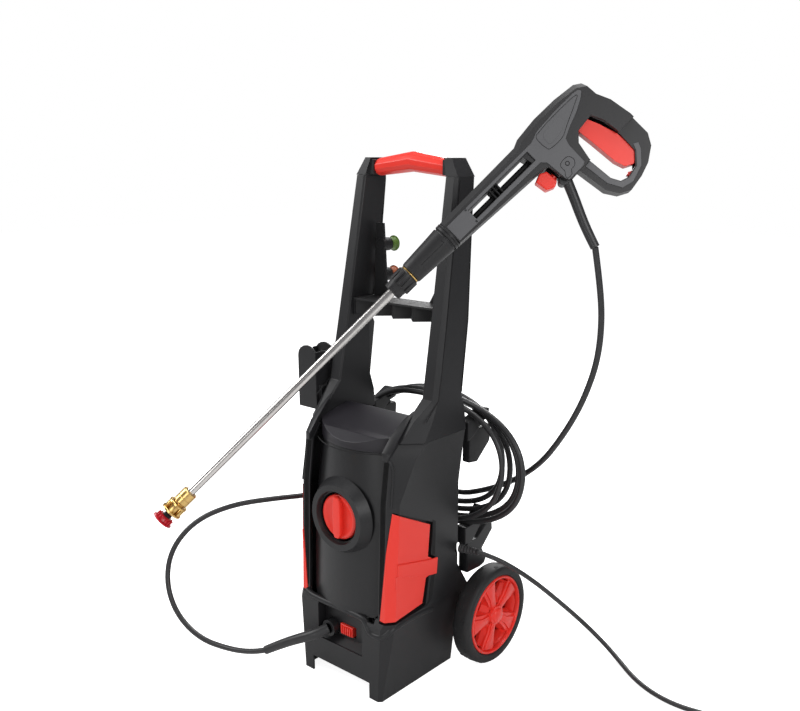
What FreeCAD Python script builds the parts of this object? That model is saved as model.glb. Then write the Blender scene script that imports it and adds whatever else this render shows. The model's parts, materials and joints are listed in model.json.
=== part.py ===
import FreeCAD, Part
import math
import os

# An upright electric pressure washer: a wheeled machine with its spray gun,
# lance, high-pressure hose and power cord.  Millimetres, +Z up, the front
# faces -Y.  The origin is on the floor under the middle of the housing.

V = FreeCAD.Vector

# Driving dimensions of the machine
WALL = 3.0                  # moulded shell thickness
GAP = 0.5                   # clearance between pieces of different bodies
SEAT = 0.2                  # clearance between fixed mouldings
BASE_H = 128.0              # height of the widest part of the foot skirt
BASE_HALF_BOTTOM = 89.0
BASE_HALF_TOP = 106.0
FRONT_Y = -106.0
REAR_Y = 84.0
SEAM_Z = 426.0              # joint between housing and shoulders
SEAM_HALF = 123.0
SHOULDER_Z = 484.0          # where the shoulders become the posts
SHOULDER_FRONT = -66.0      # front of the shoulders at the seam
POST_TOP_Z = 817.0
HANDLE_TOP_Z = 845.0
GRIP_PEAK_Z = 839.0
GRIP_R = 16.0
GRIP_HALF = 72.0
FOOT_INNER = 65.0
ARCH_H = 27.0
PANEL_HALF = 77.0
PANEL_LOW = 142.0
PANEL_HIGH = 405.5
PANEL_SAG = 20.0            # how far the panel's edges stand back
RECESS_HALF = 50.0          # the hose recess in the front of the skirt
RECESS_LOW = 68.0
RECESS_DEEP = 8.0           # depth of the pits that hold the side panels
SIDE_FROM = 79.5            # the side panels reach round the corner to here
SIDE_LEAN_LOW = V(82.5, 0, 138)     # their front edge leans outwards from here
SIDE_LEAN_HIGH = V(100.3, 0, 328)   # to here
KNOB_Z = 294.0
BEZEL_R = 64.0
WELL_R = 41.0
KNOB_R = 32.0
WHEEL_R = 86.0
WHEEL_IN = 119.0
WHEEL_OUT = 153.0
AXLE_Y = 120.0
AXLE_R = 6.0
FIT = 0.06                  # radial running fit
OUTLET = V(-31, -100, 88)
GLAND = V(109, 70, 214)

# Driving dimensions of the motor and pump, on one upright shaft
MOTOR_Y = -8.0
MOTOR_R = 46.0
MOTOR_LOW = 235.0
MOTOR_HIGH = 345.0
SHAFT_R = 6.0
PUMP_R = 38.0
PISTON_R = 7.0

# Driving dimensions of the gun, in its own frame: x from the nozzle to the
# tail, y towards the trigger, z across.
GUN_NOZZLE = V(-93, -362, 344)
GUN_ALONG = V(0.424, 0.592, 0.685)
GUN_DOWN = V(0.651, 0.326, -0.685)
GUN_HALF = 17.0
GUARD_HALF = 11.0
LANCE_R = 6.5
PIPE_R = 4.5                # the pipe inside the barrel
PIPE_DROP = 7.5             # how far it lies below the lance
TRIGGER_PIVOT = (815.0, 15.0)
SAFETY_PIVOT = (823.0, 125.0)

# Cords
HOSE_D = 9.5
CORD_D = 8.0
PRINTED_TURN_MIN = 5.0

os.makedirs("parts", exist_ok=True)


def save(shape, name):
    shape.exportStep("parts/" + name + ".step")


def box(x0, x1, y0, y1, z0, z1):
    return Part.makeBox(x1 - x0, y1 - y0, z1 - z0, V(x0, y0, z0))


def cyl(radius, start, end):
    return Part.makeCylinder(radius, (end - start).Length, start, end - start)


def tube(outer, inner, start, end):
    return cyl(outer, start, end).cut(cyl(inner, start, end))


def cone(r0, r1, start, end):
    return Part.makeCone(r0, r1, (end - start).Length, start, end - start)


def wire(points):
    return Part.makePolygon(list(points) + [points[0]])


def prism(points, direction):
    return Part.Face(wire(points)).extrude(direction)


def loft(rings):
    return Part.makeLoft([wire(ring) for ring in rings], True, True)


def mirrored(shape):
    return shape.mirror(V(0, 0, 0), V(1, 0, 0))


def group(shapes):
    return Part.makeCompound(shapes)


def fillet(shape, radius, wanted):
    edges = [edge for edge in shape.Edges if wanted(edge)]
    return shape.makeFillet(radius, edges)


def ring(z, half, front, rear, front_cut, rear_cut):
    """A horizontal octagon: square corners cut by the two chamfer sizes."""
    right = [
        V(half - front_cut, front, z), V(half, front + front_cut, z),
        V(half, rear - rear_cut, z), V(half - rear_cut, rear, z),
    ]
    left = [V(-p.x, p.y, z) for p in reversed(right)]
    return right + left


def turned(profile, start, along):
    """A solid of revolution: profile is (distance, radius) pairs."""
    points = [V(0, 0, profile[0][0])]
    points += [V(radius, 0, distance) for distance, radius in profile]
    points.append(V(0, 0, profile[-1][0]))
    solid = Part.Face(wire(points)).revolve(V(0, 0, 0), V(0, 0, 1), 360)
    solid.Placement = FreeCAD.Placement(
        start, FreeCAD.Rotation(V(0, 0, 1), along))
    return solid


# ---------------------------------------------------------------- housing

def housing_outer(shrink):
    """The housing's side walls and foot skirt, pulled in by shrink."""
    s = shrink
    stations = [
        (0, BASE_HALF_BOTTOM, FRONT_Y, 88, 5, 14),
        (BASE_H, BASE_HALF_TOP, FRONT_Y, 84, 16, 14),
        (BASE_H + 12, BASE_HALF_TOP - 2, FRONT_Y + 8, 84, 12, 14),
        (KNOB_Z + 40, 107, -92, 80, 14, 14),
        (SEAM_Z - 22, 118.5, -82, 76, 28, 14),
        (SEAM_Z, SEAM_HALF, SHOULDER_FRONT, 74, 34, 14),
    ]
    rings = []
    for z, half, front, rear, fc, rc in stations:
        rings.append(ring(z, half - s, front + s, rear - s, fc, rc))
    return loft(rings)


def main_housing():
    shell = housing_outer(0).cut(housing_outer(WALL))
    floor_gap = box(-FOOT_INNER, FOOT_INNER, FRONT_Y - 5, 100, -1, ARCH_H)
    face = box(-PANEL_HALF - 1, PANEL_HALF + 1, -120, -60, PANEL_LOW + 5, SEAM_Z + 1)
    lip = box(-PANEL_HALF - 1, PANEL_HALF + 1, -120, -90, PANEL_LOW - 1, PANEL_LOW + 6)
    lip = lip.fuse(box(-PANEL_HALF + 4, PANEL_HALF - 4, -120, -90, PANEL_LOW - 10, PANEL_LOW))
    rear = box(-92, 92, 60, 100, 40, SEAM_Z + 1)
    gland = cyl(9.2, GLAND + V(-12, 0, 0), GLAND + V(12, 0, 0))
    recess = box(-RECESS_HALF, RECESS_HALF, FRONT_Y - 2, -88, RECESS_LOW, PANEL_LOW)
    pocket = box(
        -RECESS_HALF - WALL, RECESS_HALF + WALL, FRONT_Y + 1.5, -85,
        RECESS_LOW - WALL, PANEL_LOW - 11)
    ledge = prism([
        V(-RECESS_HALF, FRONT_Y + 1, RECESS_LOW - 1), V(-RECESS_HALF, -87, RECESS_LOW - 1),
        V(-RECESS_HALF, -87, RECESS_LOW + 9)], V(2 * RECESS_HALF, 0, 0))
    socket_hole = cyl(14.5, OUTLET + V(0, 20, 0), OUTLET + V(0, -20, 0))
    latch_hole = box(-16, 20, -90, -82, 81, 100)
    pocket = pocket.cut(recess).fuse(ledge).cut(socket_hole).cut(latch_hole)
    deck = loft([
        ring(ARCH_H, 91.3, -104.5, 85, 5, 12), ring(ARCH_H + WALL, 91.6, -104.5, 85, 5, 12)])
    shell = shell.fuse(deck).cut(floor_gap).cut(face).cut(lip).cut(rear).cut(recess)
    shell = shell.fuse(pocket).cut(gland)
    for side in (1, -1):
        cup = housing_outer(WALL - 0.5).cut(housing_outer(RECESS_DEEP + 2))
        cup = cup.common(side_block(side, 12))
        pit = housing_outer(-6).cut(housing_outer(RECESS_DEEP)).common(side_block(side, 9))
        shell = shell.fuse(cup).cut(pit)
    return shell.cut(face).removeSplitter()


def side_panel_outline(grow):
    """The red side panel as seen from the side, in (y, z)."""
    g = grow
    return [
        (-112, PANEL_LOW - 2), (-98, PANEL_LOW - 2 - g / 2), (-22 + g, 148 - g),
        (-14 + g, 190), (-4 + g, 192), (0 + g, 220), (-10 + g, 226),
        (-6 + g, 280 + g / 9), (-112, 333 + g / 9),
    ]


def side_block(side, grow):
    """The panel's outline as a prism; the pit grows to the rear and below."""
    points = [V(SIDE_FROM * side, y, z) for y, z in side_panel_outline(grow)]
    low, high = SIDE_LEAN_LOW, SIDE_LEAN_HIGH
    back = 1.0 if grow else 0.0
    lean = [
        (60, low.z - 20), (low.x - back - 1.9, low.z - 20), (high.x - back + 1.9, high.z + 20),
        (60, high.z + 20)]
    front = prism([V(x * side, -130, z) for x, z in lean], V(0, 50, 0))
    return prism(points, V(80 * side, 0, 0)).cut(front)


def side_panel(side):
    """A flush panel: its outer face stands a little proud of the housing."""
    skin = housing_outer(-1.0).cut(housing_outer(RECESS_DEEP - SEAT))
    panel = skin.common(side_block(side, 0))
    band = prism([V(SIDE_FROM * side, y, z) for y, z in (
        (-86, 194), (-5.5, 193), (-2, 219), (-86, 217))], V(80 * side, 0, 0))
    raised = housing_outer(-3.5).cut(housing_outer(0)).common(band)
    return panel.fuse(raised).removeSplitter()


def arc_ring(z, half, front, depth, sag):
    """A horizontal strip whose outer and inner edges are arcs."""
    outer = Part.Arc(V(-half, front + sag, z), V(0, front, z), V(half, front + sag, z))
    inner = Part.Arc(
        V(half, front + sag + depth, z), V(0, front + depth, z),
        V(-half, front + sag + depth, z))
    sides = [
        Part.LineSegment(V(half, front + sag, z), V(half, front + sag + depth, z)),
        Part.LineSegment(V(-half, front + sag + depth, z), V(-half, front + sag, z)),
    ]
    return Part.Wire([
        outer.toShape(), sides[0].toShape(), inner.toShape(), sides[1].toShape()])


def panel_slab(depth, forward):
    """The front panel's curved face, thickened inwards by depth."""
    f = forward
    rings = [
        arc_ring(PANEL_LOW - 6, PANEL_HALF - 11, FRONT_Y - f, depth, 13),
        arc_ring(PANEL_LOW + 5, PANEL_HALF, FRONT_Y + 1 - f, depth, PANEL_SAG - 1),
        arc_ring(KNOB_Z, PANEL_HALF, FRONT_Y + 6 - f, depth, PANEL_SAG),
        arc_ring(PANEL_HIGH, PANEL_HALF, FRONT_Y + 18 - f, depth, PANEL_SAG + 8),
    ]
    return Part.makeLoft(rings, True, True)


def front_panel():
    panel = panel_slab(WALL, 0)
    hole = cyl(WELL_R + 4, V(0, -140, KNOB_Z), V(0, -60, KNOB_Z))
    return panel.cut(hole)


def hood_block(shrink):
    """The hood as a solid block: a sloping top inside a curved outline."""
    profile = [
        V(0, -100, 406), V(0, -100, 409), V(0, -74, 429), V(0, -60, 431), V(0, -20, 442),
        V(0, 8, 447), V(0, 14, 444), V(0, 14, 406)]
    body = prism(profile, V(200, 0, 0))
    body.translate(V(-100, 0, 0))
    half = 86 - shrink
    side, front, rear = -54 + shrink, -90 + shrink, 14 - shrink
    outline = Part.Wire([
        Part.Arc(V(-half, side, 400), V(0, front, 400), V(half, side, 400)).toShape(),
        Part.LineSegment(V(half, side, 400), V(half, rear, 400)).toShape(),
        Part.LineSegment(V(half, rear, 400), V(-half, rear, 400)).toShape(),
        Part.LineSegment(V(-half, rear, 400), V(-half, side, 400)).toShape()])
    return body.common(Part.Face(outline).extrude(V(0, 0, 60)))


def hood():
    cavity = hood_block(WALL)
    cavity.translate(V(0, 0, -WALL))
    return hood_block(0).cut(cavity)


def post_outer(side, shrink):
    """Shoulder and handle post: three straight stretches of one moulding."""
    s = shrink
    rings = []
    stations = [
        (SEAM_Z + SEAT, 86, SEAM_HALF, SHOULDER_FRONT, 74, 26, 12),
        (SEAM_Z + 30, 87, SEAM_HALF - 2, -38, 73, 20, 12),
        (SHOULDER_Z, 89, 118, -8, 66, 7, 10),
        (600, 87, 114.5, 14, 84, 6, 10),
        (POST_TOP_Z, 83, 106, 52, 103, 5, 8),
    ]
    for z, inner, outer, front, rear, fc, rc in stations:
        points = [
            V(inner + s, front + s + 3, z), V(inner + s + 3, front + s, z),
            V(outer - s - fc, front + s, z), V(outer - s, front + s + fc, z),
            V(outer - s, rear - s - rc, z), V(outer - s - rc, rear - s, z),
            V(inner + s, rear - s, z)]
        rings.append([V(p.x * side, p.y, p.z) for p in points])
    return loft(rings)


def post(side):
    solid = post_outer(side, 0)
    core = post_outer(side, WALL).common(box(-140, 140, -80, 110, SEAM_Z - 1, POST_TOP_Z - 6))
    notch = cyl(9, V(80 * side, 93, 593), V(140 * side, 93, 593))
    return solid.cut(core).cut(notch)


def handle_top():
    """The two chamfered corners and the bar through the grip."""
    pieces = []
    for side in (1, -1):
        low = [
            V(84 * side, 53, POST_TOP_Z + SEAT), V(106 * side, 55, POST_TOP_Z + SEAT),
            V(106 * side, 97, POST_TOP_Z + SEAT), V(98 * side, 103, POST_TOP_Z + SEAT),
            V(84 * side, 103, POST_TOP_Z + SEAT)]
        high = [
            V(76 * side, 58, HANDLE_TOP_Z), V(90 * side, 60, HANDLE_TOP_Z),
            V(90 * side, 94, HANDLE_TOP_Z), V(86 * side, 98, HANDLE_TOP_Z),
            V(76 * side, 98, HANDLE_TOP_Z)]
        inward = [
            V(GRIP_HALF * side, 60, 819), V(GRIP_HALF * side, 60, 842),
            V(GRIP_HALF * side, 96, 842), V(GRIP_HALF * side, 96, 819)]
        joint = [
            V(90 * side, 58, 818), V(90 * side, 60, 843),
            V(90 * side, 96, 843), V(90 * side, 98, 818)]
        pieces.append(loft([low, high]).fuse(loft([inward, joint])))
    bar = cyl(7, V(-GRIP_HALF - 5, 78, 830), V(0, 78, GRIP_PEAK_Z))
    bar = bar.fuse(cyl(7, V(0, 78, GRIP_PEAK_Z), V(GRIP_HALF + 5, 78, 830)))
    bar = bar.fuse(Part.makeSphere(7, V(0, 78, GRIP_PEAK_Z)))
    return pieces[0].fuse(bar).fuse(pieces[1])


def grip():
    """A bent sleeve, highest in the middle, round the handle bar."""
    def octagon(x, z, r, flat):
        pts = []
        for step in range(12):
            a = math.radians(30 * step + 15)
            pts.append(V(x, 78 + r * 1.12 * math.cos(a), z + r * math.sin(a) * flat))
        return pts
    solid = loft([
        octagon(-GRIP_HALF + SEAT, 830, GRIP_R - 1, 0.95), octagon(0, GRIP_PEAK_Z, GRIP_R, 1.0),
        octagon(GRIP_HALF - SEAT, 830, GRIP_R - 1, 0.95)])
    hole = cyl(7 + SEAT, V(-GRIP_HALF - 5, 78, 830), V(0, 78, GRIP_PEAK_Z))
    hole = hole.fuse(cyl(7 + SEAT, V(0, 78, GRIP_PEAK_Z), V(GRIP_HALF + 5, 78, 830)))
    hole = hole.fuse(Part.makeSphere(7 + SEAT, V(0, 78, GRIP_PEAK_Z)))
    return solid.cut(hole)


def crossbar():
    """The ribbed brace between the posts, open underneath."""
    outer = box(-86.5, 86.5, 24, 70, 592, 620)
    tray = box(-84, 84, 21, 67, 589, 617)
    bar = outer.cut(tray)
    back = box(-84, 84, 66, 70, 592, 618)
    bar = bar.fuse(back)
    for index in range(4):
        x0 = -84 + 42 * index
        for start, end in ((x0, x0 + 42), (x0 + 42, x0)):
            a = V(start, 27, 594)
            b = V(end, 67, 594)
            across = V(b.y - a.y, a.x - b.x, 0)
            across.normalize()
            rib = prism([a + across, b + across, b - across, a - across], V(0, 0, 24))
            bar = bar.fuse(rib.common(box(-85, 85, 24, 68, 594, 618)))
    return bar.removeSplitter()


def nozzle_rack():
    """The plates that rise from the brace, one with cups for spare nozzles."""
    plate = prism([
        V(-80, 67, 619), V(-50, 67, 619), V(-64, 74, 740), V(-80, 74, 740)], V(0, 4, 0))
    for z in (655, 705):
        cup = tube(11, 8 + GAP, V(-68, 71, z), V(-68, 90, z))
        plate = plate.fuse(cup)
    gusset = prism([V(84, 66, 619), V(42, 66, 619), V(84, 66, 690)], V(0, 4, 0))
    return plate.fuse(gusset)


def knob_bezel():
    """A conical ring standing on the front panel, with a well inside."""
    outer = cone(BEZEL_R, BEZEL_R - 10, V(0, -93, KNOB_Z), V(0, -110, KNOB_Z))
    back = panel_slab(40, SEAT)
    well = cone(WELL_R - 3, WELL_R + 3, V(0, -86, KNOB_Z), V(0, -110.1, KNOB_Z))
    solid = outer.cut(well).cut(back)
    cup = tube(WELL_R + 3, WELL_R - 0.5, V(0, -103, KNOB_Z), V(0, -80, KNOB_Z))
    floor = tube(WELL_R + 3, 9, V(0, -80, KNOB_Z), V(0, -77, KNOB_Z))
    return solid.fuse(cup).fuse(floor).removeSplitter()


def knob():
    """A disc with a raised bar between two scoops, on a square stem."""
    disc = cone(KNOB_R, KNOB_R - 1.5, V(0, -84, KNOB_Z), V(0, -104, KNOB_Z))
    scoop = cyl(22, V(26, -108, KNOB_Z - 40), V(26, -108, KNOB_Z + 40))
    scoop = scoop.common(cyl(KNOB_R - 4, V(0, -112, KNOB_Z), V(0, -88, KNOB_Z)))
    scoop = scoop.cut(box(-6, 6, -120, -80, KNOB_Z - 50, KNOB_Z + 50))
    disc = disc.cut(scoop).cut(mirrored(scoop))
    bar = box(-5, 5, -110, -100, KNOB_Z - 27, KNOB_Z + 27)
    bar = fillet(bar, 2.0, lambda edge: True)
    stem = cyl(8.5, V(0, -85, KNOB_Z), V(0, -64, KNOB_Z))
    return disc.fuse(bar).fuse(stem).removeSplitter()


def switch_box():
    body = box(-22, 22, -76.5, -56, KNOB_Z - 30, KNOB_Z + 26)
    return body.cut(cyl(8.5 + GAP, V(0, -80, KNOB_Z), V(0, -62, KNOB_Z)))


def outlet_socket():
    """The hose socket in the front recess, with the pipe back to the pump."""
    body = tube(14, 7.5, OUTLET + V(0, -2, 0), OUTLET + V(0, 26, 0))
    start = V(OUTLET.x, MOTOR_Y - 34.2, OUTLET.z)
    pipe = tube(8, 4, start, OUTLET + V(0, 26, 0))
    return body.fuse(pipe).removeSplitter()


def outlet_latch():
    """A ribbed slide that releases the hose, in the recess beside it."""
    body = box(-13, 15, -92, -79, 82, 99)
    body = fillet(body, 1.5, lambda edge: edge.CenterOfMass.y < -90)
    for index in range(5):
        x = -8 + 4.5 * index
        body = body.fuse(box(x, x + 2, -94.5, -91, 84, 97))
    return body.removeSplitter()


def holster():
    """A round-topped open channel on the left shoulder for the gun."""
    shift = V(-150, -25, 0)
    outline = [V(-22, 0, 430), V(-22, 0, 520)]
    for step in range(1, 8):
        a = math.radians(180 - 22.5 * step)
        outline.append(V(22 * math.cos(a), 0, 520 + 18 * math.sin(a)))
    outline += [V(22, 0, 430)]
    plate = prism(outline, V(0, 44, 0))
    hollow = box(-18.5, 18.5, 4, 40, 425, 560)
    mouth = box(-30, -10, 12, 32, 425, 560)
    body = plate.cut(hollow).cut(mouth)
    body.translate(shift)
    arm = box(-130, -123.4, -18, 12, 440, 470)
    return body.fuse(arm).removeSplitter()


def hook(points, x0, x1):
    return prism([V(x0, y, z) for y, z in points], V(x1 - x0, 0, 0))


def upper_hooks():
    side = [
        (80.5, 398), (96, 404), (120, 424), (136, 428), (138, 444), (128, 446),
        (104, 434), (80.5, 430)]
    right = hook(side, 92, 114)
    right = fillet(right, 3.0, lambda edge: abs(edge.CenterOfMass.x - 103) < 0.5
                   and edge.CenterOfMass.y > 118)
    return group([right, mirrored(right)])


def lower_hooks():
    side = [
        (85.5, 214), (104, 214), (140, 250), (144, 266), (134, 270), (108, 246),
        (85.5, 244)]
    right = hook(side, 88, 108)
    right = fillet(right, 3.0, lambda edge: abs(edge.CenterOfMass.x - 98) < 0.5
                   and edge.CenterOfMass.y > 120)
    return group([right, mirrored(right)])


def rear_cover():
    """The back of the housing, with the two ears that carry the axle."""
    plate = loft([
        ring(45, 91, 76, 82, 1, 2), ring(SEAM_Z - 4, 91, 68, 74, 1, 2)])
    for index in range(6):
        z = 300 + 14 * index
        plate = plate.cut(box(-40, 40, 50, 100, z, z + 6))
    for side in (1, -1):
        ear = prism([
            V(90 * side, 80, 46), V(90 * side, AXLE_Y + 16, 60),
            V(90 * side, AXLE_Y + 22, 92), V(90 * side, AXLE_Y + 8, 110),
            V(90 * side, 78, 190)], V(-16 * side, 0, 0))
        plate = plate.fuse(ear)
    strap = box(-90, 90, 77, 84, 60, 120)
    bore = cyl(AXLE_R + SEAT, V(-120, AXLE_Y, WHEEL_R), V(120, AXLE_Y, WHEEL_R))
    water = cyl(12.5, V(-50, 40, 110), V(-50, 120, 110))
    return plate.fuse(strap).cut(bore).cut(water).removeSplitter()


# ---------------------------------------------------------------- wheels

def wheel_axis(x0, x1, side):
    return V(x0 * side, AXLE_Y, WHEEL_R), V(x1 * side, AXLE_Y, WHEEL_R)


def tyre(side):
    a, b = wheel_axis(WHEEL_IN, WHEEL_OUT - 2, side)
    body = tube(WHEEL_R - 2, 63, a, b)
    body = fillet(body, 5.0, lambda edge: edge.Curve.TypeId == "Part::GeomCircle"
                  and edge.Curve.Radius > 70)
    mid_a, mid_b = wheel_axis(WHEEL_IN + 6, WHEEL_OUT - 8, side)
    crown = tube(WHEEL_R, 80, mid_a, mid_b)
    return body.fuse(crown)


def hub(side):
    a, b = wheel_axis(WHEEL_IN + 2, WHEEL_OUT - 3, side)
    rim = tube(63 - SEAT, 55, a, b)
    boss = tube(16, AXLE_R + FIT, wheel_axis(WHEEL_IN - 6, 0, side)[0],
                wheel_axis(WHEEL_OUT - 2, 0, side)[0])
    disc_a, disc_b = wheel_axis(WHEEL_OUT - 14, WHEEL_OUT - 6, side)
    disc = tube(55, 15, disc_a, disc_b)
    for index in range(5):
        turn = 72 * index + 36
        window = prism([
            V(disc_a.x - 20 * side, 20, -7), V(disc_a.x - 20 * side, 47, -17),
            V(disc_a.x - 20 * side, 51, 0), V(disc_a.x - 20 * side, 47, 17),
            V(disc_a.x - 20 * side, 20, 7)], V(40 * side, 0, 0))
        window.rotate(V(0, 0, 0), V(1, 0, 0), turn)
        window.translate(V(0, AXLE_Y, WHEEL_R))
        disc = disc.cut(window)
    return rim.fuse(disc).fuse(boss)


def axle():
    """A steel rod with a pressed cap on each end that keeps the wheel on."""
    end = V(WHEEL_OUT + 1, AXLE_Y, WHEEL_R)
    rod = cyl(AXLE_R, V(-end.x, end.y, end.z), end)
    for side in (1, -1):
        start = V((WHEEL_OUT - 1) * side, AXLE_Y, WHEEL_R)
        rod = rod.fuse(cyl(11, start, start + V(4 * side, 0, 0)))
    return rod.removeSplitter()


# ---------------------------------------------------------------- motor and pump

def on_shaft(z):
    return V(0, MOTOR_Y, z)


def motor_stator():
    """The wound stator can, closed at the top by its end bell."""
    can = tube(MOTOR_R, 27, on_shaft(MOTOR_LOW), on_shaft(MOTOR_HIGH))
    bell = tube(MOTOR_R, SHAFT_R + FIT, on_shaft(MOTOR_HIGH), on_shaft(MOTOR_HIGH + 10))
    return can.fuse(bell).removeSplitter()


def motor_rotor():
    core = cyl(25, on_shaft(MOTOR_LOW + 8), on_shaft(MOTOR_HIGH - 8))
    shaft = cyl(SHAFT_R, on_shaft(168), on_shaft(MOTOR_HIGH + 28))
    return core.fuse(shaft)


def cooling_fan():
    z = MOTOR_HIGH + 13
    hub_ring = tube(14, SHAFT_R + 0.02, on_shaft(z), on_shaft(z + 14))
    fan = hub_ring.fuse(tube(38, 13, on_shaft(z), on_shaft(z + 1.6)))
    for index in range(9):
        blade = box(12, 37, -0.9, 0.9, z, z + 13)
        blade.rotate(V(0, 0, z), V(0, 0, 1), 40 * index)
        blade.translate(V(0, MOTOR_Y, 0))
        fan = fan.fuse(blade)
    return fan.removeSplitter()


def wobble_plate():
    """A slanted thrust disc on the motor shaft that drives the pistons."""
    disc = cyl(27, V(0, MOTOR_Y, 176), V(0, MOTOR_Y, 190))
    cut = box(-60, 60, -60, 60, 0, 40)
    cut.rotate(V(0, 0, 0), V(0, 1, 0), 9)
    cut.translate(V(0, MOTOR_Y, 143.5))
    disc = disc.cut(cut)
    return disc.cut(cyl(SHAFT_R + 0.02, on_shaft(100), on_shaft(250)))


def pump_body():
    """The gear case under the motor, round the wobble plate."""
    case = tube(PUMP_R, 31, on_shaft(150), on_shaft(MOTOR_LOW - SEAT))
    top = tube(32, SHAFT_R + FIT, on_shaft(222), on_shaft(MOTOR_LOW - SEAT))
    floor = cyl(32, on_shaft(150), on_shaft(156))
    body = case.fuse(top).fuse(floor)
    for point in piston_centres():
        bore = cyl(PISTON_R + SEAT, V(point.x, point.y, 140), V(point.x, point.y, 160))
        body = body.cut(bore)
    return body.removeSplitter()


def piston_centres():
    points = []
    for index in range(3):
        a = math.radians(120 * index + 30)
        points.append(V(18 * math.cos(a), MOTOR_Y + 18 * math.sin(a), 0))
    return points


def pistons():
    shapes = []
    for point in piston_centres():
        shapes.append(cyl(PISTON_R, V(point.x, point.y, 108), V(point.x, point.y, 168)))
    return group(shapes)


def pump_head():
    body = box(-36, 36, MOTOR_Y - 34, MOTOR_Y + 34, 72, 150 - SEAT)
    body = fillet(body, 6.0, lambda edge: abs(edge.CenterOfMass.z - 111) < 2)
    for point in piston_centres():
        bore = cyl(PISTON_R + SEAT, V(point.x, point.y, 106), V(point.x, point.y, 151))
        body = body.cut(bore)
    return body


def unloader_valve():
    start = V(36.2, MOTOR_Y, 100)
    body = cyl(13, start, start + V(30, 0, 0))
    return body.fuse(cyl(8, start + V(30, 0, 0), start + V(42, 0, 0)))


def capacitor():
    return cyl(18, V(-66, 40, 200), V(-66, 40, 275))


def water_inlet():
    """The garden-hose tail at the back, on the pump's suction side."""
    a = V(-50, MOTOR_Y + 40, 110)
    pipe = tube(11.5, 7, a, V(-50, 96, 110))
    thread = tube(13.2, 7, V(-50, 96, 110), V(-50, 112, 110))
    elbow = cyl(9, V(-36.2, MOTOR_Y + 25, 110), V(-50, MOTOR_Y + 25, 110))
    block = box(-62, -38, MOTOR_Y + 14, MOTOR_Y + 40, 98, 122)
    return block.fuse(elbow).fuse(pipe).fuse(thread).removeSplitter()


def housing_screws():
    """Eight self-tapping screws through the rear cover's edge."""
    screws = []
    for side in (1, -1):
        for z in (134, 200, 250, 400):
            y = 82 - (z - 45) * 8.0 / 377 + SEAT
            head = cyl(4, V(66 * side, y, z), V(66 * side, y + 2.5, z))
            screws.append(head)
    return group(screws)


def cord_gland():
    """A tapered strain relief at the right rear corner."""
    end = GLAND + V(34, 4, 2)
    body = cone(8.8, 6.0, GLAND + V(-2, 0, 0), end)
    flange = cyl(12, GLAND + V(-4, 0, 0), GLAND + V(-1, 0, 0))
    return body.fuse(flange)


# ---------------------------------------------------------------- gun and lance

def gun_rotation():
    return FreeCAD.Rotation(GUN_ALONG, GUN_DOWN, GUN_ALONG.cross(GUN_DOWN), "XYZ")


def to_gun(shape):
    placed = shape.copy()
    placed.Placement = FreeCAD.Placement(GUN_NOZZLE, gun_rotation()).multiply(shape.Placement)
    return placed


def gun_point(a, b, c=0.0):
    return GUN_NOZZLE + gun_rotation().multVec(V(a, b, c))


def gun_pivot(pivot, z):
    return V(pivot[0], pivot[1], z)


GUN_OUTLINE = [
    (577, -20), (726, -22), (737, -27), (774, -31), (814, -30.5), (848, -26.5),
    (858, -20), (860, 6), (869, 26), (875, 60), (875, 96), (866, 112), (846, 126),
    (826, 133), (802, 137), (787, 129), (776, 112), (769, 66), (753, 67), (745, 61),
    (741, 32), (727, 27.5), (577, 20)]
D_OPENING = [
    (789, 64), (794, 38), (806, 25), (834, 22), (842, 40), (846, 70), (845, 100),
    (830, 117), (812, 121), (800, 117), (793, 104)]
BARREL_SLOT = [(617, -4), (733, -4), (733, 12), (617, 12)]


def flat(points, z0, z1):
    return prism([V(a, b, z0) for a, b in points], V(0, 0, z1 - z0))


def gun_shell(side):
    """One half of the gun's casing; side is the sign of its own z."""
    body = flat(GUN_OUTLINE, 0, GUN_HALF)
    body = body.cut(flat(D_OPENING, -1, GUN_HALF + 1)).cut(flat(BARREL_SLOT, -1, GUN_HALF + 1))
    thin = box(766, 880, 66, 140, GUARD_HALF, GUN_HALF + 1)
    body = body.cut(thin)
    valve = flat([(738, -18), (800, -18), (800, 8), (766, 50), (738, 50)], -1, 12)
    trigger_slot = flat([(800, 6), (850, 6), (864, 60), (861, 114), (800, 118)], -1, 8.6)
    bore = cyl(6 + GAP, V(560, 0, 0), V(600, 0, 0))
    bore = bore.fuse(cyl(PIPE_R + GAP, V(585, PIPE_DROP, 0), V(745, PIPE_DROP, 0)))
    hose = cyl(9, V(752, 40, 0), V(745, 90, 0))
    button = cyl(5.5 + GAP, V(750, 46, 0), V(725, 46, 0))
    screw = cyl(2.2, V(762, 47, GUN_HALF - 3), V(762, 47, GUN_HALF + 1))
    safety_slot = flat([(808, 113), (829, 108), (832, 131), (814, 132)], -1, 4 + 2 * GAP)
    pins = [cyl(2.5 + SEAT, gun_pivot(TRIGGER_PIVOT, 0), gun_pivot(TRIGGER_PIVOT, 12 + SEAT)),
            cyl(1.5 + SEAT, gun_pivot(SAFETY_PIVOT, 0), gun_pivot(SAFETY_PIVOT, 7 + SEAT))]
    for cavity in [valve, trigger_slot, bore, hose, button, screw, safety_slot] + pins:
        body = body.cut(cavity)
    if side < 0:
        body = body.mirror(V(0, 0, 0), V(0, 0, 1))
    body.translate(V(0, 0, 0.05 * side))
    return body


def gun_valve():
    block = box(742, 775, -14, 30, -10, 10)
    block = block.fuse(cyl(PIPE_R, V(590, PIPE_DROP, 0), V(742, PIPE_DROP, 0)))
    block = block.fuse(cyl(6, V(578, 0, 0), V(597, 0, 0)))
    socket = tube(7, 3.5, V(755, 26, 0), V(750, 61, 0))
    block = block.cut(cyl(2.5, V(594, PIPE_DROP, 0), V(760, PIPE_DROP, 0)))
    return block.fuse(socket).removeSplitter()


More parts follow.
